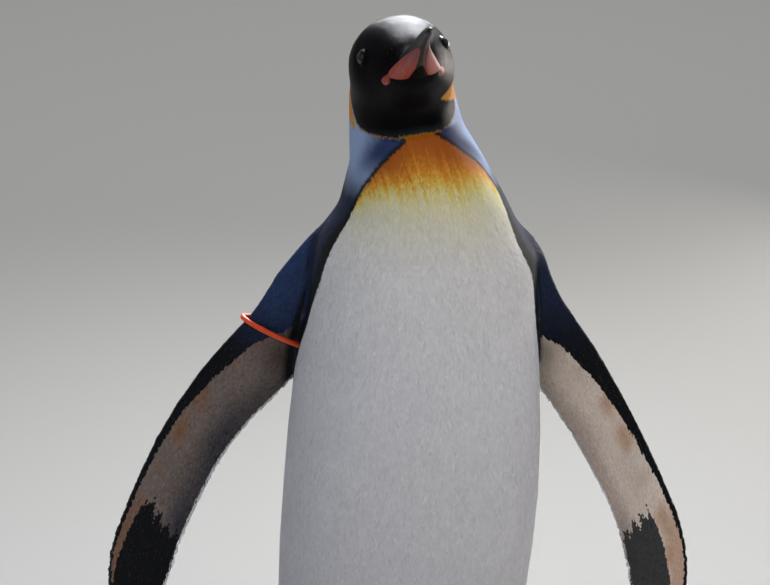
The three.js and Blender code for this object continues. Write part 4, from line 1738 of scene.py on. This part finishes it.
@dataclass(frozen=True)
class BandFinish:
    """Moulded orange plastic, a little scuffed."""

    name: str = "band_plastic"
    colour: Rgb = (240, 78, 22)

    def build(self, effects: SharedEffects) -> Material:
        """Makes the material.

        Args:
            effects: shared groups.

        Returns:
            The material.
        """
        material, nodes, shader = new_material(self.name)
        drift = effects.drift.use(nodes, Vector=nodes.object_place(), Colour=rgba(self.colour),
                                  Scale=160.0, Strength=0.35)
        nodes.feed(shader, {"Base Color": drift["Colour"],
                            "Roughness": nodes.math("MULTIPLY_ADD", drift["Mask"], 0.3, 0.22)})
        nodes.relief(shader, drift["Mask"], 0.00015, 0.5)
        return material


# ---------------------------------------------------------------- bill, eyes, claws and band


@dataclass(frozen=True)
class Bill:
    """Both halves of the bill and the coloured plates on the lower one."""

    head: HeadShape
    gap: float = 0.3
    gape: Profile = Profile(((20, -7), (75, -7.2), (110, -8.6), (144, -13.5)))
    upper: Profile = Profile(((20, 21, 13), (45, 14, 6.5), (75, 8, 2.5), (105, 5, -2),
                              (130, 3.4, -7), (143, 2.6, -11)))
    lower: Profile = Profile(((16, 26, -22), (45, 18.5, -21.5), (75, 10, -17.5),
                              (105, 5.2, -14.5), (137, 2.6, -15)))
    plate_reach: tuple[float, float] = (16.5, 98.5)
    plate_angle: Profile = Profile(((16.5, 24), (40, 32), (61, 37), (80, 41), (98.5, 48)))
    plate_half_angle: float = 36.0
    plate_thickness: float = 1.7

    def at(self, sizes: Profile, side: int, f: float, angle: float, grow: float = 0.0) -> Array:
        """Place on a bill half.

        Args:
            sizes: the half's sections.
            side: +1 for the upper half, -1 for the lower.
            f: place along the bill.
            angle: 0 and pi are the tomia, half pi is the ridge or the keel.
            grow: distance outside the surface.

        Returns:
            f, l and u.
        """
        first, last = sizes.rows[0][0], sizes.rows[-1][0]
        width, edge = sizes.at(min(max(f, first), last))[0]
        share = float(round_end(f - first, 3) * round_end(last - f, 6))
        mating = float(self.gape.at(f)[0, 0]) + side * self.gap / 2
        rise = max(0.0, math.sin(angle))
        height = abs(edge - mating) * rise + grow * rise
        across = (width + grow) * share * math.cos(angle)
        return np.array((f, across, mating + side * share * height))

    def detail(self, side: int, f: float, angle: float) -> float:
        """Ridges and grooves that stand off a half's plain surface.

        Args:
            side: +1 for the upper half, -1 for the lower.
            f: place along the bill.
            angle: place round it.

        Returns:
            Distance outwards in millimetres.
        """
        lean = abs(math.degrees(angle) - 90.0)
        if side > 0:
            along = float(ease(f, 38, 50) * fall(f, 70, 112))
            groove = -0.9 * math.exp(-((lean - 44) / 9.0) ** 2) * along
            return groove + 0.35 * math.exp(-(lean / 12.0) ** 2)
        along = float(ease(f, 40, 60) * fall(f, 95, 125))
        return 0.5 * math.exp(-(lean / 14.0) ** 2) * along - 0.5 * math.exp(
            -((lean - 26) / 7.0) ** 2) * along

    def half(self, name: str, sizes: Profile, side: int) -> Mesh:
        """Mesh of one half.

        Args:
            name: its name.
            sizes: its sections.
            side: +1 for the upper half, -1 for the lower.

        Returns:
            The mesh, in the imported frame.
        """
        first, last = sizes.rows[0][0], sizes.rows[-1][0]
        stations, around, dome = 64, 40, 34  # rings, points in one, and those over its dome

        def place(i: int, angle: float) -> Vector:
            """Ring point: most run over the dome, the rest close the mating face.

            Args:
                i: number of the ring.
                angle: place round it.

            Returns:
                The point.
            """
            v = i / (stations - 1)
            v = v - 0.6 * math.sin(2 * math.pi * v) / (2 * math.pi)
            f = first + 0.02 + (last - first - 0.04) * v
            k = round(angle / (2 * math.pi) * around)
            if k <= dome:
                turn = math.pi * k / dome
                point = self.at(sizes, side, f, turn, self.detail(side, f, turn))
            else:
                share = (k - dome) / (around - dome)
                ends = self.at(sizes, side, f, math.pi), self.at(sizes, side, f, 0.0)
                point = ends[0] * (1 - share) + ends[1] * share
                point[2] -= side * 0.02
            return Vector(point)

        return self.placed(mesh_of(lofted(stations, around, place), name))

    def placed(self, mesh: Mesh) -> Mesh:
        """Keeps the head's own coordinates as own_place, and moves the mesh to the frame.

        Args:
            mesh: changed here, in the head's own axes.

        Returns:
            The same mesh.
        """
        own = places_of(mesh)
        measure(mesh, "own_place", own)
        return move(mesh, self.head.world(own))

    def plate(self, side: Side) -> Mesh:
        """Mesh of one plate: a low smooth swelling on the side of the lower half.

        Args:
            side: which plate.

        Returns:
            The mesh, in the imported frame.
        """
        bm = bmesh.new()
        bmesh.ops.create_grid(bm, x_segments=56, y_segments=20, size=1.0)
        low, high = self.plate_reach
        sizes = Profile(((4.0, 30.0, -22.0), *self.lower.rows[1:]))

        def lay(x: float, y: float, off: float) -> Vector:
            """Point of the plate over a disc's place.

            Args:
                x: place along, -1 to 1.
                y: place across, -1 to 1.
                off: distance off the horn.

            Returns:
                The point.
            """
            round_x = x * math.sqrt(1 - y * y / 2)
            round_y = y * math.sqrt(1 - x * x / 2)
            f = (low + high) / 2 + (high - low) / 2 * round_x
            angle = float(self.plate_angle.at(f)[0, 0]) + self.plate_half_angle * round_y
            angle = math.radians(max(angle, 0.6))
            swell = off * (1.0 - min(1.0, math.hypot(round_x, round_y)) ** 3.0) ** 0.5
            swell *= 1.0 + 1.1 * float(fall(f, 20, 48))
            swell += 3.2 * float(fall(f, 21, 34)) * min(1.0, off + 1.0)
            point = self.at(sizes, -1, f, angle, swell - 0.25)
            return Vector((point[0], point[1] * side.value, point[2]))

        outer = {v: (v.co.x, v.co.y) for v in bm.verts}
        made = bmesh.ops.extrude_face_region(bm, geom=bm.faces[:])["geom"]
        inner = {v: (v.co.x, v.co.y) for v in made if isinstance(v, bmesh.types.BMVert)}
        for vert, (x, y) in outer.items():
            vert.co = lay(x, y, -0.4)
        for vert, (x, y) in inner.items():
            vert.co = lay(x, y, self.plate_thickness + 0.25)
        return self.placed(mesh_of(bm, f"bill_plate_{side.word}_horn"))

    def build(self, effects: SharedEffects) -> list[Piece]:
        """Makes and dresses the four pieces.

        Args:
            effects: shared groups.

        Returns:
            The pieces.
        """
        dark = HornFinish("bill_dark", (12, 11, 13), (24, 22, 23), 0.36, 0.08, fade=(40, 36, 36),
                          fade_from=108.0, fade_to=142.0, gloss=0.35).build(effects)
        keel = HornFinish("bill_keel", (20, 17, 16), (34, 29, 26), 0.42, 0.05, fade=(46, 42, 41),
                          fade_from=90.0, fade_to=136.0, gloss=0.3).build(effects)
        rose = HornFinish("bill_plate_rose", (158, 58, 46), (176, 78, 60), 0.36, 0.06, 0.0002,
                          fade=(130, 54, 60), fade_from=48.0, fade_to=92.0,
                          gloss=0.3).build(effects)
        pieces = [
            show(self.half("upper_bill_horn", self.upper, 1), dark, ["bill_upper"]),
            show(self.half("lower_bill_horn", self.lower, -1), keel, ["bill_lower"]),
        ]
        for side in Side:
            pieces.append(show(self.plate(side), rose, [f"bill_plate_{side.word}"]))
        return pieces


@dataclass(frozen=True)
class Eyes:
    """Eyeballs and the ring of lid round each."""

    head: HeadShape
    opening: float = 6.1

    def axes(self, side: Side) -> Array:
        """Unit axes of an eye.

        Args:
            side: which eye.

        Returns:
            Rows x (forward), y (up) and z (out of the eye), in f, l, u.
        """
        out = np.array((0.16, float(side.value), 0.05))
        out /= np.linalg.norm(out)
        ahead = np.array((1.0, 0.0, 0.0)) - out * out[0]
        ahead /= np.linalg.norm(ahead)
        return np.array((ahead, np.cross(out, ahead), out))

    def put(self, mesh: Mesh, side: Side, own_scale: float) -> Mesh:
        """Keeps the eye's own axes as own_place and moves a mesh to the frame.

        Args:
            mesh: changed here, in the eye's own axes.
            side: which eye.
            own_scale: length that own_place counts as one.

        Returns:
            The same mesh.
        """
        own = places_of(mesh)
        measure(mesh, "own_place", own / own_scale)
        centre = np.array(EYE_PLACE) * (1, side.value, 1)
        return move(mesh, self.head.world(own @ self.axes(side) + centre))

    def build(self, effects: SharedEffects) -> list[Piece]:
        """Makes and dresses the eyes and lids.

        Args:
            effects: shared groups.

        Returns:
            The pieces.
        """
        wet = EyeFinish().build()
        skin = HornFinish("lid_skin", (8, 8, 9), (14, 13, 14), 0.62, 0.0, 0.0003,
                          gloss=0.1).build(effects)
        pieces = []
        for side in Side:
            bm = bmesh.new()
            bmesh.ops.create_uvsphere(bm, u_segments=48, v_segments=32, radius=EYE_RADIUS)
            for vert in bm.verts:
                away = math.hypot(vert.co.x, vert.co.y)
                if vert.co.z > 0:
                    vert.co.z += 0.55 * math.exp(-(away / 3.6) ** 2)
            ball = self.put(mesh_of(bm, f"eye_{side.word}_ball"), side, EYE_RADIUS)
            pieces.append(show(ball, wet, [f"eye_{side.word}"]))

            def ring(i: int, angle: float) -> Vector:
                """Lid ring: flat outwards, with a rounded rim and slight folds.

                Args:
                    i: number of the ring.
                    angle: place round it.

                Returns:
                    The point.
                """
                turn = 2 * math.pi * i / 72
                lift = 0.16 * math.sin(turn * 9) + 0.1 * math.sin(turn * 17 + 1.0)
                reach = self.opening + (1.35 + lift * 0.3) * math.cos(angle) + 0.6
                tall = 0.80 if math.sin(turn) > 0 else 0.88
                x, y = reach * math.cos(turn) * 1.04, reach * math.sin(turn) * tall
                high = 6.35 + 0.75 * math.sin(angle) + 0.12 * lift - 0.028 * x * x
                return Vector((x, y, high))

            lid = self.put(mesh_of(lofted(72, 14, ring, closed=True), f"lid_{side.word}"),
                           side, 1.0)
            pieces.append(show(lid, skin))
        return pieces


@dataclass(frozen=True)
class Claws:
    """Curved claws of both feet, one piece for each foot."""

    limbs: LimbShape
    length: float = 19.0
    radius: float = 4.0
    toes: tuple[tuple[str, float, float, float], ...] = (
        ("inner", -27, 80, 7), ("middle", 0, 100, 7), ("outer", 28, 88, 7), ("hind", -100, 19, 9))

    def build(self, effects: SharedEffects) -> list[Piece]:
        """Makes and dresses the claws.

        Args:
            effects: shared groups.

        Returns:
            The pieces.
        """
        horn = HornFinish("claw_horn", (20, 19, 21), (58, 52, 50), 0.32, 0.3, 0.0002).build(effects)
        pieces = []
        for side in Side:
            whole = bmesh.new()
            for _, spread, reach, height in self.toes:
                turn = math.radians(side.value * spread)
                ahead = Vector((math.sin(turn), -math.cos(turn), 0))
                across = Vector((-ahead.y, ahead.x, 0))

                def ring(i: int, angle: float) -> Vector:
                    """Claw section, narrowing and sinking to the tip.

                    Args:
                        i: number of the ring.
                        angle: place round it.

                    Returns:
                        The point.
                    """
                    v = i / 19
                    share = float(round_end(v, 0.12) * round_end(1.002 - v, 0.08))
                    radius = self.radius * share * (1 - 0.75 * v) + 0.02
                    centre = height - (height - 2.2) * v * v
                    ridge = 0.85 + 0.12 * max(0.0, math.sin(angle)) ** 3
                    up = Vector((0, 0, centre + radius * ridge * math.sin(angle)))
                    out = across * radius * math.cos(angle)
                    return ahead * (reach - 7 + self.length * v) + out + up

                bm = lofted(20, 16, ring)
                bmesh.ops.recalc_face_normals(bm, faces=bm.faces)
                add_to(whole, bm)
            mesh = mesh_of(whole, f"claws_{side.word}")
            own = places_of(mesh)
            measure(mesh, "own_place", own[:, [1, 0, 2]])
            turn = Matrix.Rotation(side.value * math.radians(self.limbs.splay), 3, "Z")
            leg_x = self.limbs.leg_middle + side.value * self.limbs.leg_spacing
            own = own @ np.array(turn).T + np.array((leg_x, self.limbs.foot_back, 0.0))
            names = [f"claw_{side.word}_{toe[0]}" for toe in self.toes]
            pieces.append(show(move(mesh, own), horn, names))
        return pieces


@dataclass(frozen=True)
class FlipperBand:
    """Plastic ring slipped over the right upper arm."""

    place: tuple[float, float, float] = (-99.0, 25.0, 563.5)
    lean: float = 23.0
    half_length: float = 45.0
    half_width: float = 16.5
    wire: float = 2.6

    def build(self, effects: SharedEffects) -> Piece:
        """Makes and dresses the band.

        Args:
            effects: shared groups.

        Returns:
            The piece.
        """
        lean = math.radians(self.lean)
        slope = Vector((math.cos(lean), 0, -math.sin(lean)))
        axis = Vector((math.sin(lean), 0, math.cos(lean)))
        count = 128

        def ring(i: int, angle: float) -> Vector:
            """Wire section, thicker at the clasp.

            Args:
                i: number of the ring.
                angle: place round it.

            Returns:
                The point.
            """
            turn = 2 * math.pi * i / count
            clasp = 0.45 * math.exp(-((turn - math.pi * 1.32) / 0.16) ** 2)
            reach = (self.wire + clasp * 0.4) * math.cos(angle)
            sway = 0.5 * math.sin(2 * turn + 0.6)
            return (Vector(self.place) + slope * (self.half_length + reach) * math.cos(turn)
                    + Vector((0, 1, 0)) * (self.half_width + reach) * math.sin(turn)
                    + axis * ((self.wire + clasp * 0.4) * math.sin(angle) + sway))

        mesh = mesh_of(lofted(count, 20, ring, closed=True), "band_ring")
        return show(move(mesh, places_of(mesh)), BandFinish().build(effects),
                    ["flipper_band"])


# ---------------------------------------------------------------- coat of the whole bird


class FeatherCoat:
    """Cuts the coat into its pieces, and adds the tail's quills and the flippers' fringes."""

    SIDE_SEAM = 97  # degrees from the middle of the breast
    THROAT, CHEST, VENT, RUMP = 735, 500, 290, 420  # heights of the other seams, in millimetres

    def __init__(self, coat: Coat, effects: SharedEffects) -> None:
        """Keeps what it builds from.

        Args:
            coat: makes the feathers.
            effects: shared groups.
        """
        self.coat, self.anatomy = coat, coat.anatomy
        self.breast = FeatherFinish("breast_feather", 0.60, 0.0, 0.20).build(effects)
        self.back = FeatherFinish("back_feather", 0.50, 0.0, 0.28, drift=0.25).build(effects)
        self.sleek = FeatherFinish("head_feather", 0.29, 0.0, 0.05, drift=0.1).build(effects)
        self.scale = FeatherFinish("flipper_feather", 0.50, 0.0, 0.12, drift=0.3).build(effects)
        self.quill = FeatherFinish("tail_feather", 0.42, 0.04, 0.45, barbs=70.0,
                                   drift=0.3).build(effects)

    def unwrap(self, root: Array, facts: dict[str, Array], part: Part) -> Array:
        """Places on the skin's unwrap.

        Args:
            root: bird points.
            facts: what survey() found there.
            part: the region, which says how it is unrolled.

        Returns:
            Rows of u and v, 0 to 1.
        """
        turn = facts["angle"] / 360.0 + 0.5
        fold = np.where(root[:, 2] < 130, 130 + (root[:, 2] - 130) * 1.6, root[:, 2])
        u, v = turn, (fold - 40) / 830.0
        if part in FLIPPER_PARTS.values():
            side = Side.LEFT if part is Part.FLIPPER_LEFT else Side.RIGHT
            t, c, w = facts[side.word].T
            u, v = np.where(w > 0, 0.25, 0.75) + c / 46.0 * 0.22, 0.02 + 0.96 * t
        elif part is Part.HEAD:
            flu = facts["flu"]
            u = np.arctan2(flu[:, 1], flu[:, 2] - 6.0) / (2 * math.pi) + 0.5
            v = (flu[:, 0] + 95) / 150.0
        elif part is Part.LEG:
            left = root[:, 0] > self.anatomy.limbs.leg_middle
            x = root[:, 0] - np.where(left, 60.0, -42.0)
            turn = np.arctan2(x, 10.0 - root[:, 1]) / (2 * math.pi) + 0.5
            u, v = turn * 0.48 + 0.5 * left, (root[:, 2] - 40) / 80.0
        elif part is Part.TAIL:
            u, v = 0.5 + (root[:, 0] - 4) / 110.0, facts["tail"]
        return np.clip(np.stack([u, v], 1), 0.01, 0.99)

    def build(self) -> list[Piece]:
        """Makes every piece of the coat.

        Returns:
            The pieces.
        """
        lot, facts = self.coat.grow()
        z, front = lot.root[:, 2], np.abs(facts["angle"]) < self.SIDE_SEAM
        trunk, all_of_it = z <= self.THROAT, np.ones(len(z), bool)
        cuts = (  # piece, region, share of it, slot, finish, vane, ridge and roof
            ("neck", Part.BODY, ~trunk, "neck", self.back, NARROW, 0.07, 0.10),
            ("breast", Part.BODY, front & trunk & (z > self.CHEST), "body", self.breast, NARROW,
             0.05, 0.06),
            ("belly", Part.BODY, front & (z <= self.CHEST) & (z > self.VENT), "body", self.breast,
             NARROW, 0.05, 0.06),
            ("vent", Part.BODY, front & (z <= self.VENT), "body", self.breast, NARROW, 0.05, 0.08),
            ("mantle", Part.BODY, ~front & trunk & (z > self.RUMP), "body", self.back, BROAD,
             0.12, 0.16),
            ("rump", Part.BODY, ~front & (z <= self.RUMP), "body", self.back, BROAD, 0.12, 0.16),
            ("head", Part.HEAD, all_of_it, "head", self.sleek, NARROW, 0.05, 0.07),
            ("tail", Part.TAIL, all_of_it, "tail", self.quill, BROAD, 0.2, 0.18),
            ("flipper_right", Part.FLIPPER_RIGHT, all_of_it, "flipper", self.scale, NARROW,
             0.05, 0.08),
            ("flipper_left", Part.FLIPPER_LEFT, all_of_it, "flipper", self.scale, NARROW,
             0.05, 0.08),
            ("legs", Part.LEG, all_of_it, "leg", self.breast, NARROW, 0.08, 0.12),
        )
        pieces = []
        for name, region, share, slot, finish, vane, ridge, roof in cuts:
            chosen = (facts["part"] == region.value) & share
            some = {k: v[chosen] for k, v in facts.items()}
            flat = self.unwrap(lot.root[chosen], some, region)
            sharp = name in ("head", "neck", "breast")
            pieces.append(self.coat.dress(f"coat_{name}", lot.pick(chosen), vane, f"coat_{slot}",
                                          finish, flat, ridge, roof, sharp))
        pieces += [self.fringe(side) for side in Side]
        return [*pieces, self.tail(), self.chin(), self.ankles()]

    def chin(self) -> Piece:
        """Wedge of short feathers that runs out along the keel of the bill.

        Returns:
            The piece.
        """
        random = np.random.default_rng(SEED + 3)
        bill = Bill(self.anatomy.head)
        count = 1500
        f = random.uniform(22, 68, count)
        reach = np.interp(f, (22, 30, 40, 50, 60, 68), (60, 44, 32, 26, 18, 6))
        angle = np.radians(90 + reach * random.uniform(-1, 1, count))
        places = np.array([bill.at(bill.lower, -1, a, b) for a, b in zip(f, angle)])
        normal = np.stack([np.full(count, 0.12), np.cos(angle), -np.sin(angle)], 1)
        way = np.stack([np.full(count, -1.0), 0.10 * np.cos(angle), np.full(count, -0.05)], 1)
        axes = self.anatomy.head.axes()
        normal, way = unit(normal @ axes), way @ axes
        way = level(way, normal)
        root = self.anatomy.head.world(places) - normal * 0.3
        shade = random.uniform(0.7, 1.3, (count, 1))
        lot = Feathers(root, normal, way, random.uniform(3.6, 4.8, count),
                       random.uniform(1.1, 1.5, count), random.uniform(0.8, 1.1, count),
                       linear(self.coat.plumage.finish.hood)[None] * shade)
        flat = np.stack([0.5 + 0.1 * np.cos(angle), np.clip((f + 95) / 150.0, 0, 0.97)], 1)
        return self.free("chin_wedge", lot, BROAD, "coat_head", self.sleek, flat)

    def ankles(self) -> Piece:
        """Feathers that hang from the end of each leg over the ankle.

        Returns:
            The piece.
        """
        random = np.random.default_rng(SEED + 5)
        limbs = self.anatomy.limbs
        count = 2600
        side = np.where(np.arange(count) % 2 == 0, 1.0, -1.0)
        angle, height = random.uniform(0, 2 * math.pi, count), random.uniform(47.5, 60.0, count)
        radius = np.interp(height, (44, 46, 49, 70), (17.0, 21.0, 24.0, 30.5)) - 1.4
        out = np.stack([np.cos(angle), -1.08 * np.sin(angle), np.zeros(count)], 1)
        middle = np.stack([limbs.leg_middle + side * limbs.leg_spacing, np.full(count, 10.0),
                           height], 1)
        root = middle + out * radius[:, None]
        normal = unit(out + np.array((0.0, 0.0, -0.15)))
        way = unit(np.array((0.0, 0.0, -1.0)) - 0.34 * out + random.normal(0, 0.06, (count, 3)))
        way = level(way, normal, 0.5)
        facts = self.anatomy.survey(root)
        facts["part"][:] = Part.LEG.value
        colour = self.coat.plumage.colours(root, normal, facts, np.zeros(count))
        lot = Feathers(root, normal, way, random.uniform(7.5, 11.0, count),
                       random.uniform(2.2, 3.2, count), np.full(count, 1.5),
                       colour * random.uniform(0.86, 1.04, (count, 1)))
        flat = self.unwrap(root, facts, Part.LEG)
        return self.free("ankle_tufts", lot, NARROW, "coat_leg", self.breast, flat)

    def fringe(self, side: Side) -> Piece:
        """White feathers that stand out along a flipper's trailing edge.

        Args:
            side: which flipper.

        Returns:
            The piece.
        """
        random = np.random.default_rng(SEED + side.value)
        shape = self.anatomy.flippers[side]
        places, along, _ = shape.curve()
        count = 640
        t = np.sort(random.uniform(0.13, 0.94, count))
        index = (t * shape.samples).astype(int)
        line = along[index]
        lead, under = shape.axes(line)
        half = shape.half(t)
        spot = places[index] - lead * (half - random.uniform(3.2, 5.2, count))[:, None]
        root, _ = snap(self.coat.hide.tree, spot + under * 1.2)
        normal = unit(-lead + under * 0.8)
        lean = random.normal(0.62, 0.16, count)[:, None]
        way = unit(line - lead * lean)
        way = level(way, normal, 0.6)
        fade = 1.0 - 0.35 * ease(t, 0.7, 0.94)
        lot = Feathers(root, normal, way, random.uniform(5.0, 7.6, count) * fade,
                       random.uniform(1.0, 1.6, count), np.full(count, 1.0),
                       linear((246, 246, 248))[None] * random.uniform(0.82, 1.0, (count, 1)))
        flat = np.stack([np.full(count, 0.5), 0.02 + 0.96 * t], 1)
        flat[:, 0] += random.uniform(-0.3, 0.3, count)
        return self.free(f"fringe_{side.word}", lot, BROAD, "coat_flipper", self.breast, flat)

    def free(self, name: str, lot: Feathers, vane: Vane, slot: str, finish: Material,
             flat: Array) -> Piece:
        """Feathers that run straight out instead of following the skin.

        Args:
            name: name of the piece.
            lot: the feathers.
            vane: their outline.
            slot: not used.
            finish: their material.
            flat: places on the unwrap.

        Returns:
            The piece.
        """
        template = vane.local()
        count, each = len(lot.root), len(template)
        places, normals = np.empty((count, each, 3)), np.empty((count, each, 3))
        across = unit(np.cross(lot.normal, lot.way))
        for k, (s, side, width, high) in enumerate(template):
            rise = lot.depth * (0.3 + 0.7 * (1 - (1 - s) ** 2)) + high * 0.35
            places[:, k] = (lot.root + lot.way * (lot.length * s)[:, None]
                            + lot.normal * rise[:, None]
                            + across * (side * width * lot.width / 2)[:, None])
            normals[:, k] = unit(lot.normal + 0.25 * side * across)
        tone = np.interp(template[:, 0], (0, 0.5, 1.0), (0.75, 1.0, 1.0))
        return feather_piece(name, finish, vane, places, normals,
                             lot.colour[:, None, :] * tone[None, :, None],
                             np.clip(flat, 0.01, 0.99))

    def tail(self) -> Piece:
        """Long stiff quills of the tail, in an upper and a lower layer.

        Returns:
            The piece.
        """
        limbs = self.anatomy.limbs
        random = np.random.default_rng(SEED + 7)
        base, run = np.array(limbs.tail_root), limbs.tail_run()
        axis, length = unit(run), float(np.linalg.norm(run))
        across = np.array((1.0, 0.0, 0.0))
        outward = unit(np.cross(across, axis))
        if outward[1] < 0:
            outward = -outward
        roots, ways, normals, long, wide = [], [], [], [], []
        layers = ((1, 15, 0.42), (1, 14, 0.30), (-1, 14, 0.40))  # face, quills and start
        for layer, (face, number, start) in enumerate(layers):
            half_width = np.interp(start, (0, 0.45, 0.8, 1), (46, 42, 32, 22)) - 6
            thick = np.interp(start, (0, 0.45, 0.8, 1), (26, 16, 7, 3))
            for x in np.linspace(-1.0, 1.0, number):
                arch = math.sqrt(max(0.0, 1 - x * x * 0.85))
                root = (base + axis * length * start + across * x * half_width
                        + outward * face * (thick * arch - 3.4))
                reach = length * (1.0 - 0.10 * x * x) * (1.0 - 0.05 * layer)
                tip = base + axis * reach + across * x * 19.0 + outward * face * (2.0 * arch)
                roots.append(root)
                ways.append(unit(tip - root))
                long.append(float(np.linalg.norm(tip - root)) * random.uniform(0.96, 1.0))
                wide.append(random.uniform(9.0, 10.5))
                flat = outward * face + across * x * 0.35
                normals.append(unit(flat - ways[-1] * float(flat @ ways[-1])))
        count = len(roots)
        colour = linear((30, 33, 40))[None] * random.uniform(0.7, 1.35, (count, 1))
        lot = Feathers(np.array(roots), np.array(normals), np.array(ways), np.array(long),
                       np.array(wide), np.full(count, 0.9), colour)
        flat = np.stack([np.linspace(0.05, 0.95, count), np.full(count, 0.5)], 1)
        return self.free("tail_quills", lot, STIFF, "coat_tail", self.quill, flat)


# ---------------------------------------------------------------- studio


@dataclass(frozen=True)
class Studio:
    """Pale floor, soft lights and the camera."""

    camera_place: tuple[float, float, float] = (-0.012, -1.863, 1.30)
    camera_pitch: float = 70.0
    focal_pixels: float = 2060.0
    picture_width: float = 770.0
    floor_size: float = 30.0
    floor_colour: Rgb = (172, 171, 168)
    lamps: tuple[tuple, ...] = (  # name, place, aim, size, watts, colour and beam
        ("key", (1.6, -2.1, 2.4), (0, 0, 0.5), 1.8, 25.5, (255, 248, 240), 180.0),
        ("fill", (-2.4, -1.9, 1.5), (0, 0, 0.5), 2.4, 10.5, (222, 235, 255), 180.0),
        ("rim", (0.30, 2.6, 2.4), (0, 0, 0.85), 1.9, 38.0, (248, 250, 255), 60.0),
        ("edge", (1.5, 1.9, 0.6), (0, 0, 0.8), 0.7, 14.0, (255, 246, 238), 180.0),
        ("top", (0.0, 3.4, 5.0), (0, 3.6, 0), 6.0, 190.0, (255, 255, 255), 180.0))

    def floor(self) -> None:
        """Wide plain pale floor."""
        bm = bmesh.new()
        bmesh.ops.create_grid(bm, x_segments=1, y_segments=1, size=self.floor_size / 2)
        mesh = mesh_of(bm, "floor")
        if mesh.polygons[0].normal.z < 0:
            mesh.flip_normals()
        material, nodes, shader = new_material("floor_matt")
        nodes.feed(shader, {"Base Color": rgba(self.floor_colour), "Roughness": 0.9,
                            "Specular IOR Level": 0.2})
        mesh.materials.append(material)
        link("floor", mesh)

    def lamp(self, name: str, place: Sequence[float], aim: Sequence[float], size: float,
             power: float, colour: Rgb, spread: float) -> None:
        """Soft square light.

        Args:
            name: its name.
            place: where it stands.
            aim: what it points at.
            size: side in metres.
            power: watts.
            colour: its colour.
            spread: angle of its beam, in degrees.
        """
        light = bpy.data.lights.new(name, "AREA")
        light.shape, light.size, light.energy = "SQUARE", size, power
        light.color, light.spread = tuple(linear(colour)), math.radians(spread)
        lamp = link(name, light)
        lamp.location = place
        way = Vector(aim) - Vector(place)
        lamp.rotation_mode = "QUATERNION"
        lamp.rotation_quaternion = way.to_track_quat("-Z", "Y")

    def build(self) -> None:
        """Makes the camera, lights and floor."""
        data = bpy.data.cameras.new("camera")
        data.sensor_width = 36.0
        data.lens = self.focal_pixels / self.picture_width * data.sensor_width
        camera = link("camera", data)
        camera.location = self.camera_place
        camera.rotation_euler = (math.radians(self.camera_pitch), 0.0, 0.0)
        bpy.context.scene.camera = camera
        self.floor()
        for row in self.lamps:
            self.lamp(*row)
        world = bpy.data.worlds.new("studio")
        world.use_nodes = True
        sky = world.node_tree.nodes["Background"]
        Nodes(world.node_tree).feed(sky, {"Color": (0.90, 0.94, 1.0, 1.0), "Strength": 0.26})
        bpy.context.scene.world = world
        bpy.context.scene.view_settings.view_transform = "Standard"


def main() -> None:
    """Builds the bird over its frame, in order."""
    logging.basicConfig(level=logging.INFO, format="%(message)s", stream=sys.stdout)
    anatomy = Anatomy()
    plumage = Plumage(anatomy, PlumageFinish())
    effects = SharedEffects()
    Studio().build()
    hide = Hide(anatomy, plumage)
    hide.build(HideFinish().build(effects))
    FeatherCoat(Coat(hide, anatomy, plumage), effects).build()
    Bill(anatomy.head).build(effects)
    Eyes(anatomy.head).build(effects)
    Claws(anatomy.limbs).build(effects)
    FlipperBand().build(effects)


if __name__ == "__main__":
    main()
